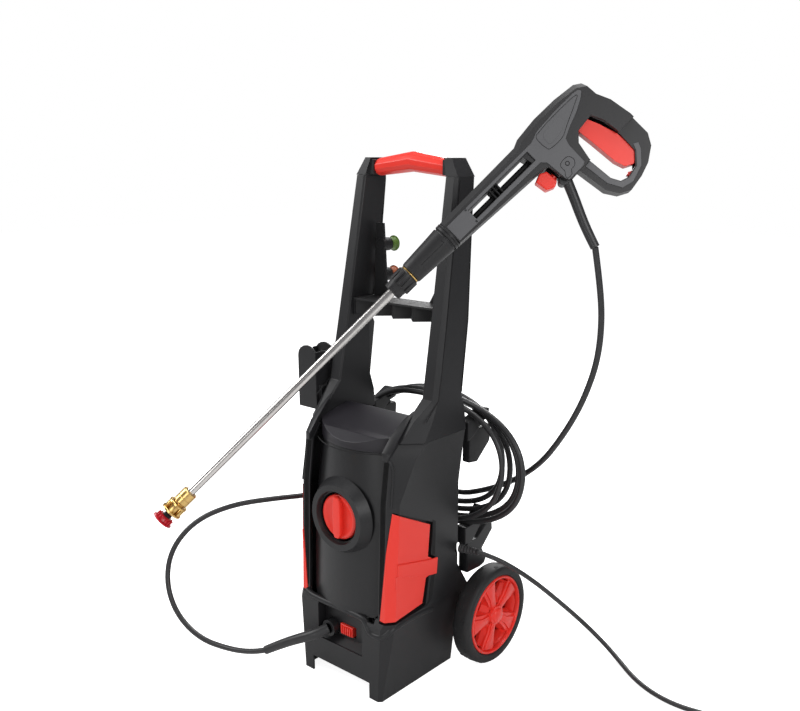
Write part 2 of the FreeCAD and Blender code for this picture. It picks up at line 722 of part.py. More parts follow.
def gun_trigger():
    """A long bar inside the closed handle, hinged near the valve."""
    bar = flat([
        (806, 10), (824, 10), (836, 38), (845, 66), (847, 94), (843, 106), (832, 113),
        (820, 107), (815, 92), (811, 50)], -8, 8)
    return bar.cut(cyl(2.5 + FIT, gun_pivot(TRIGGER_PIVOT, -9), gun_pivot(TRIGGER_PIVOT, 9)))


def trigger_pin():
    return cyl(2.5, gun_pivot(TRIGGER_PIVOT, -12), gun_pivot(TRIGGER_PIVOT, 12))


def safety_catch():
    lever = flat([(814, 117), (819, 115.5), (827, 120), (828, 128), (820, 128.5)], -4, 4)
    return lever.cut(cyl(1.5 + FIT, gun_pivot(SAFETY_PIVOT, -5), gun_pivot(SAFETY_PIVOT, 5)))


def safety_pin():
    return cyl(1.5, gun_pivot(SAFETY_PIVOT, -7), gun_pivot(SAFETY_PIVOT, 7))


def hose_release_button():
    """The red button beside the hose, on its short stem."""
    stem = cyl(5.5, V(740.5, 46, 0), V(730, 46, 0))
    cap = flat([(714, 34), (726, 29), (736, 34), (737, 54), (729, 58), (717, 53)], -10, 10)
    cap = fillet(cap, 2.5, lambda edge: True)
    return cap.fuse(stem).removeSplitter()


def foregrip_sleeve():
    body = turned([
        (498, 15.5), (502, 17), (540, 19), (566, 20.5), (570, 22), (576.6, 22)],
        V(0, 0, 0), V(1, 0, 0))
    return body.cut(cyl(9, V(490, 0, 0), V(580, 0, 0)))


def brass_ring():
    return tube(14.5, 9.2, V(495.6, 0, 0), V(497.8, 0, 0))


def lance_nut():
    body = turned([(460, 13), (463, 15), (490, 17.6), (495.2, 17.6)], V(0, 0, 0), V(1, 0, 0))
    return body.cut(cyl(LANCE_R + GAP, V(455, 0, 0), V(500, 0, 0)))


def lance_tube():
    return tube(LANCE_R, 3, V(40, 0, 0), V(560, 0, 0))


def coupler_body():
    body = turned([(20, 9), (37, 9), (38.5, 11), (58, 11)], V(0, 0, 0), V(1, 0, 0))
    body = body.cut(cyl(LANCE_R + 0.01, V(40, 0, 0), V(60, 0, 0)))
    return body.cut(cyl(6.5, V(19, 0, 0), V(30, 0, 0))).cut(cyl(3, V(25, 0, 0), V(45, 0, 0)))


def coupler_collar():
    body = turned([(18, 14), (21, 14), (21, 12), (31, 12), (31, 14.5), (34.5, 14.5)],
                  V(0, 0, 0), V(1, 0, 0))
    return body.cut(cyl(9 + GAP, V(10, 0, 0), V(40, 0, 0)))


def nozzle_shape(x0):
    body = turned([(x0, 15.5), (x0 + 1.5, 15.5), (x0 + 2, 12), (x0 + 9, 9.5),
                   (x0 + 11, 6), (x0 + 27, 6)], V(0, 0, 0), V(1, 0, 0))
    return body.cut(cyl(1.2, V(x0 - 1, 0, 0), V(x0 + 28, 0, 0)))


def spare_nozzle(z):
    body = turned([(0, 6), (14, 6), (15, 9), (24, 11), (24.5, 13), (26, 13)],
                  V(-68, 79, z), V(0, 1, 0))
    return body


# ---------------------------------------------------------------- cords

def smooth_path(points):
    """Straight runs joined by tangent arcs, as one wire, with its length."""
    edges = []
    radii = []
    start = points[0]
    for index in range(1, len(points) - 1):
        before, corner, after = points[index - 1:index + 2]
        u = (before - corner).normalize()
        w = (after - corner).normalize()
        turn = math.pi - u.getAngle(w)
        reach = 0.45 * min((before - corner).Length, (after - corner).Length)
        radius = reach / math.tan(turn / 2)
        radii.append(radius)
        a = corner + u * reach
        b = corner + w * reach
        middle = (u + w).normalize()
        centre = corner + middle * (radius / math.cos(turn / 2))
        edges.append(Part.LineSegment(start, a).toShape())
        edges.append(Part.Arc(a, centre - middle * radius, b).toShape())
        start = b
    edges.append(Part.LineSegment(start, points[-1]).toShape())
    return Part.Wire(edges), radii


def cord_tube(points, diameter, name):
    path, radii = smooth_path(points)
    direction = points[1] - points[0]
    circle = Part.Wire([Part.Circle(points[0], direction, diameter / 2).toShape()])
    solid = path.makePipeShell([circle], True, False)
    expected = math.pi * diameter ** 2 / 4 * path.Length
    print(name, "length", round(path.Length), "volume ratio",
          round(solid.Volume / expected, 4), "smallest radius", round(min(radii)),
          "in diameters", round(min(radii) / diameter, 1))
    if min(radii) < PRINTED_TURN_MIN * diameter:
        print(name, "radii", [round(radius) for radius in radii])
    return solid


SLEEVE_GUN = [(749.5, 63), (741, 84), (730, 108), (719.5, 133), (711, 158.6)]
HOSE_FROM_GUN = [
    V(319, 121, 660), V(319, 129, 604), V(312, 133, 550), V(297, 131, 499),
    V(277, 129, 456), V(252, 129, 416), V(222, 129, 376), V(180, 129, 342)]
HOSE_TO_OUTLET = [
    V(-112, 108, 266), V(-160, 84, 256), V(-203, 30, 242), V(-244, -28, 241),
    V(-292, -86, 234), V(-336, -136, 208), V(-358, -176, 160), V(-352, -196, 104),
    V(-318, -202, 54), V(-266, -192, 20), V(-206, -174, 14), V(-150, -166, 26)]
SLEEVE_OUTLET = [
    V(-126, -158, 36), V(-100, -146, 52), V(-70, -134, 68), V(-40, -120, 82), V(-31, -103, 88)]
COIL_MIDDLE = V(14, 122, 352)
COIL_HALF_X = 172.0
COIL_HALF_Z = 119.0
COIL_HOLE_X = 92.0
COIL_HOLE_Z = 62.0
COIL_FRONT = 100.0
COIL_BACK = 146.0

POWER_ROUTE = [
    V(143, 74, 216), V(168, 88, 208), V(190, 112, 188), V(208, 145, 158),
    V(220, 185, 120), V(232, 228, 78), V(252, 262, 38), V(283, 270, 12),
    V(322, 249, 5), V(362, 220, 4), V(406, 199, 4.5), V(452, 192, 4), V(497, 200, 4),
    V(541, 214, 4.5), V(586, 219, 4), V(628, 207, 5)]
CORD_COIL = V(640, 128, 0)
CORD_COIL_R = 84.0
CORD_COIL_HOLE = 38.0
CORD_COIL_H = 52.0


def sleeve(points, r0, r1):
    """A flexible sleeve: short cones end to end, with round joints."""
    count = len(points) - 1
    solid = None
    for index in range(count):
        start_r = r0 + (r1 - r0) * index / count
        end_r = r0 + (r1 - r0) * (index + 1) / count
        piece = cone(start_r, end_r - 0.01, points[index], points[index + 1])
        if index:
            piece = piece.fuse(Part.makeSphere(start_r, points[index]))
        solid = piece if solid is None else solid.fuse(piece)
    return solid.removeSplitter()


def ellipse_face(middle, half_x, half_z):
    curve = Part.Ellipse(middle, half_x, half_z)
    curve.Axis = V(0, 1, 0)
    curve.XAxis = V(1, 0, 0)
    return Part.Face(Part.Wire([curve.toShape()]))


def hose_coil():
    middle = V(COIL_MIDDLE.x, COIL_FRONT, COIL_MIDDLE.z)
    reach = V(0, COIL_BACK - COIL_FRONT, 0)
    outer = ellipse_face(middle, COIL_HALF_X, COIL_HALF_Z).extrude(reach)
    inner = ellipse_face(middle, COIL_HOLE_X, COIL_HOLE_Z).extrude(reach)
    return outer.cut(inner)


def cord_coil():
    base = CORD_COIL + V(0, 0, 0.2)
    top = CORD_COIL + V(0, 0, CORD_COIL_H)
    return tube(CORD_COIL_R, CORD_COIL_HOLE, base, top)


def cord_tie():
    outer = box(-29, 29, -7, 7, -0.0, CORD_COIL_H + 2.4)
    inner = box(-26.5, 26.5, -8, 8, -1, CORD_COIL_H + 0.4)
    band = outer.cut(inner)
    band.translate(CORD_COIL + V(-61, 0, 0.2))
    return band


def plug():
    """A moulded two-pin plug with an earth pin, lying beside the coil."""
    x, y = CORD_COIL.x + 10, CORD_COIL.y - CORD_COIL_R - 34
    body = box(x - 24, x + 24, y - 17, y + 17, 0.2, 26)
    body = fillet(body, 5.0, lambda edge: True)
    for dz in (8, 18):
        body = body.fuse(box(x - 42, x - 22, y - 7, y + 7, dz, dz + 1.8))
    return body.removeSplitter()


# ---------------------------------------------------------------- writing

def main():
    save(main_housing(), "main_housing")
    save(front_panel(), "front_panel")
    save(hood(), "hood")
    save(rear_cover(), "rear_cover")
    for side, name in ((1, "right"), (-1, "left")):
        save(post(side), "post_" + name)
        save(side_panel(side), "side_panel_" + name)
        save(tyre(side), "tyre_" + name)
        save(hub(side), "hub_" + name)
    save(handle_top(), "handle_top")
    save(grip(), "grip")
    save(crossbar().fuse(nozzle_rack()), "crossbar")
    save(spare_nozzle(705), "spare_nozzle_green")
    save(spare_nozzle(655), "spare_nozzle_orange")
    save(knob_bezel(), "knob_bezel")
    save(knob(), "knob")
    save(switch_box(), "switch_box")
    save(outlet_socket(), "outlet_socket")
    save(outlet_latch(), "outlet_latch")
    save(holster(), "holster")
    save(upper_hooks(), "upper_hooks")
    save(lower_hooks(), "lower_hooks")
    save(axle(), "axle")
    save(motor_stator(), "motor_stator")
    save(motor_rotor(), "motor_rotor")
    save(cooling_fan(), "cooling_fan")
    save(wobble_plate(), "wobble_plate")
    save(pump_body(), "pump_body")
    save(pistons(), "pistons")
    save(pump_head(), "pump_head")
    save(unloader_valve(), "unloader_valve")
    save(capacitor(), "capacitor")
    save(water_inlet(), "water_inlet")
    save(housing_screws(), "housing_screws")
    save(cord_gland(), "cord_gland")

    save(to_gun(gun_shell(-1)), "gun_shell_right")
    save(to_gun(gun_shell(1)), "gun_shell_left")
    save(to_gun(gun_valve()), "gun_valve")
    save(to_gun(gun_trigger()), "gun_trigger")
    save(to_gun(group([trigger_pin(), safety_pin()])), "gun_pins")
    save(to_gun(safety_catch()), "safety_catch")
    save(to_gun(hose_release_button()), "hose_release_button")
    save(to_gun(foregrip_sleeve()), "foregrip_sleeve")
    save(to_gun(brass_ring()), "brass_ring")
    save(to_gun(lance_nut()), "lance_nut")
    save(to_gun(lance_tube()), "lance_tube")
    save(to_gun(coupler_body()), "coupler_body")
    save(to_gun(coupler_collar()), "coupler_collar")
    save(to_gun(nozzle_shape(0)), "nozzle_cap")

    gun_sleeve = [gun_point(a, b) for a, b in SLEEVE_GUN]
    sleeves = [sleeve(gun_sleeve, 7.2, 7.6), sleeve(SLEEVE_OUTLET, 7.4, 7.0)]
    save(group(sleeves), "hose_sleeves")
    run = [gun_sleeve[-1] + (gun_sleeve[-1] - gun_sleeve[-2]) * 0.01] + HOSE_FROM_GUN
    save(cord_tube(run, HOSE_D, "hose_run_gun"), "hose_run_gun")
    save(cord_tube(HOSE_TO_OUTLET + [SLEEVE_OUTLET[0]], HOSE_D, "hose_run_outlet"),
         "hose_run_outlet")
    save(hose_coil(), "hose_coil")
    save(cord_tube(POWER_ROUTE, CORD_D, "power_cord"), "power_cord")
    save(cord_coil(), "cord_coil")
    save(cord_tie(), "cord_tie")
    save(plug(), "plug")


main()
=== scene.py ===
import json
import math

import bmesh
import bpy
from mathutils import Matrix, Vector

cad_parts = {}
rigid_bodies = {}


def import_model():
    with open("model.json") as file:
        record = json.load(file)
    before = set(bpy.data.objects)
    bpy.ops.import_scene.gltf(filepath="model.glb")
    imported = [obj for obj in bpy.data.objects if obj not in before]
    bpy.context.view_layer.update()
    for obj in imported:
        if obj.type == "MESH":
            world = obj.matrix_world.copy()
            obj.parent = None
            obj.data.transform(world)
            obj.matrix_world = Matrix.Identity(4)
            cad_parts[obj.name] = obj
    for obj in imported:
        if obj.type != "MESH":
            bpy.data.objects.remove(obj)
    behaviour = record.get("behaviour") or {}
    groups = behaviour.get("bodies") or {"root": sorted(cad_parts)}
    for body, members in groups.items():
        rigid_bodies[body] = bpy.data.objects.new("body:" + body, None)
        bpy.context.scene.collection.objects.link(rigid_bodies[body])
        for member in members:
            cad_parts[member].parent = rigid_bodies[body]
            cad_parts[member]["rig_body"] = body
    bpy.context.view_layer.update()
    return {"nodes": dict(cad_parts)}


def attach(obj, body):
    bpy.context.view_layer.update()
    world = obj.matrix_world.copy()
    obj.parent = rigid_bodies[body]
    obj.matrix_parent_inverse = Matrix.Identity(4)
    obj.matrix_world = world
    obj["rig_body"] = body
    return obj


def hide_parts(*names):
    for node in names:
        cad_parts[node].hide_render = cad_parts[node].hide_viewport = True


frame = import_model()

NODES = frame["nodes"]
MM = 0.001

# ---------------------------------------------------------------- camera and light

CAMERA_PLACE = (0.9719, -1.0472, 0.8503)
CAMERA_PITCH = 14.3
CAMERA_YAW = 40.5
CAMERA_ROLL = -0.2
CAMERA_LENS = 41.13
CAMERA_SHIFT = (-0.0246, 0.0394)
ROOM_LIGHT = (0.24, 0.24, 0.25)

# Sockets that Blender knows only by number: a colour Mix node's two colours and its
# result, and the object coordinates of a Texture Coordinate node.
MIX_FIRST, MIX_SECOND, MIX_RESULT = 6, 7, 2
OBJECT_PLACE = 3


def make_camera():
    camera = bpy.data.objects.new("camera", bpy.data.cameras.new("camera"))
    camera.data.sensor_width = 36
    camera.data.lens = CAMERA_LENS
    camera.data.shift_x, camera.data.shift_y = CAMERA_SHIFT
    camera.location = CAMERA_PLACE
    turn = [math.radians(a) for a in (90 - CAMERA_PITCH, CAMERA_ROLL, CAMERA_YAW)]
    camera.rotation_euler = turn
    bpy.context.scene.collection.objects.link(camera)
    bpy.context.scene.camera = camera


def area_light(name, place, aim, size, power):
    """A square soft box at place that faces aim."""
    light = bpy.data.objects.new(name, bpy.data.lights.new(name, "AREA"))
    light.data.shape = "SQUARE"
    light.data.size = size
    light.data.energy = power
    light.location = place
    away = Vector(place) - Vector(aim)
    light.rotation_euler = away.to_track_quat("Z", "Y").to_euler()
    bpy.context.scene.collection.objects.link(light)


def make_studio():
    """Five soft boxes in a room that the camera sees as white."""
    middle = (0.0, 0.0, 0.4)
    area_light("key_left", (-1.9, -1.5, 2.1), middle, 1.2, 42)
    area_light("key_right", (2.3, -0.7, 1.5), middle, 1.1, 31)
    area_light("top", (0.1, 0.3, 2.6), middle, 1.4, 34)
    area_light("front_low", (0.6, -2.6, 0.7), middle, 0.9, 10)
    area_light("back_rim", (-0.9, 2.0, 1.5), middle, 1.2, 36)
    world = bpy.data.worlds.new("studio")
    world.use_nodes = True
    nodes = world.node_tree.nodes
    seen = nodes.new("ShaderNodeLightPath")
    shade = nodes.new("ShaderNodeMix")
    shade.data_type = "RGBA"
    shade.inputs[MIX_FIRST].default_value = (*ROOM_LIGHT, 1)
    shade.inputs[MIX_SECOND].default_value = (1.0, 1.0, 1.0, 1)
    world.node_tree.links.new(seen.outputs["Is Camera Ray"], shade.inputs["Factor"])
    world.node_tree.links.new(shade.outputs[MIX_RESULT], nodes["Background"].inputs["Color"])
    bpy.context.scene.world = world
    bpy.context.scene.view_settings.view_transform = "Standard"


# ---------------------------------------------------------------- materials

class Value:
    """A shader socket that arithmetic signs act on; each sign adds a Math node."""

    def __init__(self, stuff, socket):
        self.stuff = stuff
        self.socket = socket

    def math(self, operation, *others):
        return self.stuff.add("ShaderNodeMath", {"operation": operation}, self, *others)

    def __add__(self, other):
        return self.math("ADD", other)

    def __mul__(self, other):
        return self.math("MULTIPLY", other)

    __radd__ = __add__
    __rmul__ = __mul__


class Finish:
    """One material: a Principled shader and the nodes that feed it."""

    def __init__(self, name, **constants):
        self.material = bpy.data.materials.new(name)
        self.material.use_nodes = True
        self.tree = self.material.node_tree
        self.shader = self.tree.nodes["Principled BSDF"]
        for key, number in constants.items():
            self.shader.inputs[key.replace("_", " ")].default_value = number

    def add(self, kind, settings, *inputs, out=0, **named):
        """Adds a node: its settings first, then its sockets in order or by name."""
        node = self.tree.nodes.new(kind)
        for key, setting in settings.items():
            setattr(node, key, setting)
        pairs = list(zip(node.inputs, inputs))
        pairs += [(node.inputs[key.replace("_", " ")], item) for key, item in named.items()]
        for socket, item in pairs:
            if isinstance(item, Value):
                self.tree.links.new(item.socket, socket)
            elif item is not None:
                socket.default_value = item
        return Value(self, node.outputs[out])

    def place(self):
        return self.add("ShaderNodeTexCoord", {}, out=OBJECT_PLACE)

    def scaled(self, scale):
        return self.add("ShaderNodeMapping", {}, Vector=self.place(), Scale=scale)

    def noise(self, scale, detail=3.0, where=None):
        return self.add("ShaderNodeTexNoise", {}, Vector=where or self.place(),
                        Scale=scale, Detail=detail)

    def blend(self, mask, first, second):
        """A colour from first to second as mask goes from 0 to 1."""
        node = self.tree.nodes.new("ShaderNodeMix")
        node.data_type = "RGBA"
        self.tree.links.new(mask.socket, node.inputs["Factor"])
        for number, item in ((MIX_FIRST, first), (MIX_SECOND, second)):
            socket = node.inputs[number]
            if isinstance(item, Value):
                self.tree.links.new(item.socket, socket)
            else:
                socket.default_value = (*item, 1)
        return Value(self, node.outputs[MIX_RESULT])

    def feed(self, name, item):
        self.tree.links.new(item.socket, self.shader.inputs[name])

    def bump(self, height, strength, distance):
        normal = self.add("ShaderNodeBump", {}, Strength=strength, Distance=distance,
                          Height=height)
        self.feed("Normal", normal)


def plastic(name, colour, light, rough, spread, grain=1400, depth=0.05):
    """Moulded plastic: fine spark-eroded grain and faint blotches."""
    made = Finish(name, IOR=1.41)
    blotch = made.noise(14, 4)
    fine = made.noise(grain, 2)
    made.feed("Base Color", made.blend(blotch, colour, light))
    made.feed("Roughness", blotch * spread + (rough - spread / 2))
    made.bump(fine, depth, 0.0006)
    return made.material


def metal(name, colour, light, rough, scale, grain=300, depth=0.06):
    """Bright metal with fine tool marks across its length."""
    made = Finish(name, Metallic=1.0)
    marks = made.noise(grain, 3, made.scaled(scale))
    cloud = made.noise(25, 3)
    made.feed("Base Color", made.blend(cloud, colour, light))
    made.feed("Roughness", marks * 0.16 + rough)
    made.bump(marks, depth, 0.0003)
    return made.material


def cord_jacket(name, colour, light, rough):
    """Extruded rubber: dusty streaks and a slight orange-peel skin."""
    made = Finish(name, IOR=1.5, Sheen_Weight=0.04)
    dust = made.noise(60, 5)
    skin = made.noise(420, 2)
    made.feed("Base Color", made.blend(dust, colour, light))
    made.feed("Roughness", dust * 0.2 + rough)
    made.bump(skin, 0.12, 0.0008)
    return made.material


def make_finishes():
    """Every finish by name, with its two colours as linear red, green and blue."""
    return {
        "black": plastic("black_plastic", (0.0095, 0.0095, 0.0105), (0.013, 0.013, 0.014),
                         0.44, 0.1),
        "panel": plastic("panel_plastic", (0.0085, 0.0085, 0.0095), (0.011, 0.011, 0.012),
                         0.34, 0.06, grain=1800, depth=0.03),
        "hood": plastic("hood_plastic", (0.0130, 0.0115, 0.0150), (0.0165, 0.0150, 0.0190),
                        0.38, 0.08, grain=1800, depth=0.03),
        # The darkest black: the own colour of black parts such as the nozzle stem, screws and
        # valve tube; it also draws the groove lines, and it is painted shade on the flat skins
        # laid in the housing's folds and in the recesses around the side panels.
        "dark": plastic("deep_black_and_painted_shade_plastic", (0.0025, 0.0025, 0.003), (0.004, 0.004, 0.0045),
                        0.7, 0.1),
        "red": plastic("red_plastic", (0.74, 0.030, 0.018), (0.80, 0.038, 0.024),
                       0.34, 0.08, grain=1700, depth=0.035),
        "hub": plastic("hub_plastic", (0.74, 0.028, 0.018), (0.80, 0.036, 0.024),
                       0.3, 0.08, grain=1700, depth=0.03),
        "tyre": plastic("tyre_rubber", (0.008, 0.008, 0.009), (0.014, 0.014, 0.014),
                        0.6, 0.16, grain=700, depth=0.16),
        "gun": plastic("gun_plastic", (0.082, 0.082, 0.086), (0.092, 0.092, 0.096),
                       0.45, 0.08, grain=1500),
        "gun_dark": plastic("gun_dark_plastic", (0.0135, 0.0132, 0.0140),
                            (0.0175, 0.0172, 0.0182), 0.46, 0.08),
        "rubber": cord_jacket("hose_rubber", (0.010, 0.010, 0.011), (0.020, 0.020, 0.021), 0.34),
        "cord": cord_jacket("cord_rubber", (0.012, 0.012, 0.013), (0.024, 0.024, 0.025), 0.42),
        "steel": metal("stainless_steel", (0.55, 0.53, 0.51), (0.68, 0.66, 0.64), 0.15,
                       (2, 2, 2), grain=90, depth=0.01),
        "zinc": metal("zinc_steel", (0.42, 0.42, 0.42), (0.58, 0.58, 0.57), 0.32, (9, 9, 9)),
        "brass": metal("turned_brass", (0.62, 0.40, 0.13), (0.78, 0.54, 0.22), 0.2,
                       (30, 30, 30)),
        "aluminium": metal("cast_aluminium", (0.5, 0.5, 0.51), (0.63, 0.63, 0.64), 0.42,
                           (5, 5, 5), depth=0.3),
        "green": plastic("green_plastic", (0.10, 0.20, 0.03), (0.15, 0.26, 0.05), 0.4, 0.1),
        "orange": plastic("orange_plastic", (0.50, 0.13, 0.05), (0.58, 0.18, 0.08), 0.4, 0.1),
        "white": plastic("natural_plastic", (0.62, 0.61, 0.58), (0.72, 0.71, 0.68), 0.45, 0.1),
        "dark_red": plastic("nozzle_plastic", (0.42, 0.010, 0.020), (0.52, 0.016, 0.028),
                            0.3, 0.08),
    }


FINISH = make_finishes()


# ---------------------------------------------------------------- making pieces

SAME_PLACE = 0.00002            # corners closer than this, in metres, are one
FLAT_ANGLE = 0.4                # faces that turn less than this, in degrees, are one
SHARP_CORNER = 28               # degrees; a CAD edge sharper than this is rounded
PLATE_CORNER = 0.4              # radians; the same for plates and hulls


def put(name, mesh_or_curve, finish, body="machine", replaced=()):
    """Makes a finished piece that rides on body and stands for CAD nodes."""
    piece = bpy.data.objects.new(name, mesh_or_curve)
    bpy.context.scene.collection.objects.link(piece)
    mesh_or_curve.materials.clear()
    mesh_or_curve.materials.append(FINISH[finish])
    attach(piece, body)
    if replaced:
        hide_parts(*replaced)
    return piece


def finished_mesh(bm, name, smooth=32):
    mesh = bpy.data.meshes.new(name)
    bm.to_mesh(mesh)
    bm.free()
    mesh.shade_smooth()
    mesh.set_sharp_from_angle(angle=math.radians(smooth))
    return mesh


def bevel(bm, edges, width, segments=2):
    return bmesh.ops.bevel(bm, geom=edges, offset=width, offset_type="OFFSET", segments=segments,
                           profile=0.5, affect="EDGES", clamp_overlap=True, material=-1)


def even_shading(piece):
    """Large faces decide the shading, so a flat plate looks flat up to its eased rim."""
    weigh = piece.modifiers.new("even shading", "WEIGHTED_NORMAL")
    weigh.keep_sharp = True
    return piece


def eased(node, width, finish, trim=None, broad=None, slope=0.0):
    """A CAD moulding with its sharp edges rounded, and some cut back to a wide slope."""
    source = NODES[node]
    bm = bmesh.new()
    bm.from_mesh(source.data)
    bmesh.ops.remove_doubles(bm, verts=bm.verts, dist=SAME_PLACE)
    if trim:
        trim(bm)
    bmesh.ops.dissolve_limit(bm, angle_limit=math.radians(FLAT_ANGLE), verts=bm.verts,
                             edges=bm.edges)
    if broad:
        bevel(bm, [e for e in bm.edges if len(e.link_faces) == 2 and broad(e)], slope, 1)
    corner = math.radians(SHARP_CORNER)
    edges = [e for e in bm.edges if len(e.link_faces) == 2 and e.calc_face_angle(0) > corner]
    bevel(bm, edges, width)
    mesh = finished_mesh(bm, node)
    return even_shading(put(node + "_moulded", mesh, finish, source["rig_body"], [node]))


def smooth_curve(name, points, radius, resolution=6, sides=5):
    """One NURBS spline with the points as its control points."""
    curve = bpy.data.curves.new(name, "CURVE")
    curve.dimensions = "3D"
    curve.bevel_depth = radius
    curve.bevel_resolution = sides
    curve.resolution_u = resolution
    curve.use_fill_caps = True
    spline = curve.splines.new("NURBS")
    spline.points.add(len(points) - 1)
    for control, point in zip(spline.points, points):
        control.co = (*point, 1)
    spline.order_u = 3
    spline.use_endpoint_u = True
    return curve


# ---------------------------------------------------------------- cords

HOSE_D = 9.5 * MM
CORD_D = 8.0 * MM
RING_DEPTH = 0.9 * MM           # the rings cut into the cord's relief

GUN_NOZZLE = Vector((-93, -362, 344)) * MM
GUN_ALONG = Vector((0.424, 0.592, 0.685)).normalized()
GUN_DOWN = Vector((0.651, 0.326, -0.685))
GUN_DOWN = (GUN_DOWN - GUN_ALONG * GUN_DOWN.dot(GUN_ALONG)).normalized()
GUN_SIDE = GUN_ALONG.cross(GUN_DOWN)
GUN_FRAME = Matrix((
    (GUN_ALONG.x, GUN_DOWN.x, GUN_SIDE.x, GUN_NOZZLE.x),
    (GUN_ALONG.y, GUN_DOWN.y, GUN_SIDE.y, GUN_NOZZLE.y),
    (GUN_ALONG.z, GUN_DOWN.z, GUN_SIDE.z, GUN_NOZZLE.z),
    (0, 0, 0, 1)))


def gun_point(a, b, c=0.0):
    """A point of the gun: a along it from the nozzle, b down, c across, in mm."""
    return GUN_FRAME @ (Vector((a, b, c)) * MM)


# The hose's route, in metres but for the first sleeve, which is in the gun's frame.
SLEEVE_GUN = [(749.5, 63), (741, 84), (730, 108), (719.5, 133), (711, 158.6)]
HOSE_FROM_GUN = [
    (0.319, 0.121, 0.660), (0.319, 0.129, 0.604), (0.312, 0.133, 0.550), (0.297, 0.131, 0.499),
    (0.277, 0.131, 0.456), (0.252, 0.134, 0.416), (0.222, 0.139, 0.376), (0.184, 0.146, 0.342)]
HOSE_ONTO_HOOKS = [(0.140, 0.1525, 0.312), (0.092, 0.154, 0.288), (0.045, 0.148, 0.272)]
HOSE_TO_OUTLET = [
    (-0.112, 0.106, 0.264), (-0.160, 0.084, 0.256), (-0.203, 0.030, 0.242),
    (-0.244, -0.028, 0.241), (-0.292, -0.086, 0.234), (-0.336, -0.136, 0.208),
    (-0.358, -0.176, 0.160), (-0.352, -0.196, 0.104), (-0.318, -0.202, 0.054),
    (-0.266, -0.192, 0.020), (-0.206, -0.174, 0.014), (-0.150, -0.166, 0.026)]
SLEEVE_OUTLET = [
    (-0.126, -0.158, 0.036), (-0.100, -0.146, 0.052), (-0.070, -0.134, 0.068),
    (-0.040, -0.120, 0.082), (-0.031, -0.103, 0.088)]

# Each turn of the hose on its hooks: reach right, reach left, up and down from
# the middle of the coil.  The turns stand one behind the other.
COIL_MIDDLE = Vector((0.010, 0.0, 0.352))
COIL_TURNS = [
    (0.124, 0.152, 0.109, 0.084), (0.142, 0.158, 0.112, 0.091), (0.166, 0.150, 0.104, 0.100),
    (0.190, 0.160, 0.111, 0.108), (0.203, 0.154, 0.116, 0.114), (0.160, 0.150, 0.102, 0.110)]
COIL_REAR = 0.140
COIL_PITCH = 0.0098
TURN_POINTS = 14
COIL_START = 0.075              # where the hose joins and leaves the coil, in turns
COIL_STOP = 5.10
SQUARENESS = 2.3                # 2 is an ellipse, more is nearer a rectangle


def signed_power(value, power):
    return math.copysign(abs(value) ** power, value)


def soft_step(share):
    """A share from 0 to 1 that starts and ends gently."""
    return share * share * (3 - 2 * share)


def coil_point(turns):
    """The hose on its hooks after so many turns, clockwise from the bottom."""
    index = min(int(turns), len(COIL_TURNS) - 2)
    share = turns - index
    share = soft_step(share)
    right, left, up, down = [
        a + (b - a) * share for a, b in zip(COIL_TURNS[index], COIL_TURNS[index + 1])]
    angle = 2 * math.pi * turns
    across = -signed_power(math.sin(angle), 2 / SQUARENESS)
    height = -signed_power(math.cos(angle), 2 / SQUARENESS)
    x = COIL_MIDDLE.x + across * (right if across > 0 else left)
    z = COIL_MIDDLE.z + height * (up if height > 0 else down)
    return Vector((x, COIL_REAR - COIL_PITCH * turns, z))


def hose():
    """One hose from the gun, round the hooks and back to the machine's outlet."""
    sleeve_gun = [gun_point(a, b) for a, b in SLEEVE_GUN]
    count = int((COIL_STOP - COIL_START) * TURN_POINTS)
    step = (COIL_STOP - COIL_START) / count
    turns = [coil_point(COIL_START + step * i) for i in range(count + 1)]
    points = [sleeve_gun[-1], *HOSE_FROM_GUN, *HOSE_ONTO_HOOKS, *turns, *HOSE_TO_OUTLET,
              SLEEVE_OUTLET[0]]
    line = put("high_pressure_hose", smooth_curve("high_pressure_hose", points, HOSE_D / 2),
               "rubber", replaced=["hose_run_gun", "hose_coil", "hose_run_outlet"])
    return line, sleeve_gun


def tapered(name, points, radii, finish, rings=0, replaced=()):
    """A moulded sleeve along a smooth line, with rings cut round it if asked."""
    line = smooth_curve(name + "_line", points, 0.0, resolution=10)
    holder = bpy.data.objects.new(name + "_line", line)
    bpy.context.scene.collection.objects.link(holder)
    depth = bpy.context.evaluated_depsgraph_get()
    made = bpy.data.meshes.new_from_object(holder.evaluated_get(depth))
    path = [v.co.copy() for v in made.vertices]
    bpy.data.objects.remove(holder)
    total = sum((b - a).length for a, b in zip(path, path[1:]))
    bm = bmesh.new()
    loops = []
    done = 0.0
    side = (path[1] - path[0]).orthogonal().normalized()
    for index, here in enumerate(path):
        ahead = path[min(index + 1, len(path) - 1)] - path[max(index - 1, 0)]
        ahead.normalize()
        if index:
            done += (here - path[index - 1]).length
        share = done / total
        radius = radii[0] + (radii[1] - radii[0]) * share
        if rings and 0.12 < share < 0.94 and int(share * rings) % 2:
            radius -= RING_DEPTH
        side = (side - ahead * side.dot(ahead)).normalized()
        turn = Matrix((side, ahead.cross(side), ahead)).transposed().to_4x4()
        loop = bmesh.ops.create_circle(bm, segments=24, radius=radius, cap_ends=False,
                                       matrix=Matrix.Translation(here) @ turn)
        loops.append(loop["verts"])
    edges = []
    for loop in loops:
        edges.append([e for e in bm.edges if e.verts[0] in loop and e.verts[1] in loop])
    for first, second in zip(edges, edges[1:]):
        bmesh.ops.bridge_loops(bm, edges=first + second)
    bmesh.ops.holes_fill(bm, edges=[e for e in bm.edges if e.is_boundary])
    bmesh.ops.recalc_face_normals(bm, faces=bm.faces)
    return put(name, finished_mesh(bm, name, 50), finish, replaced=replaced)


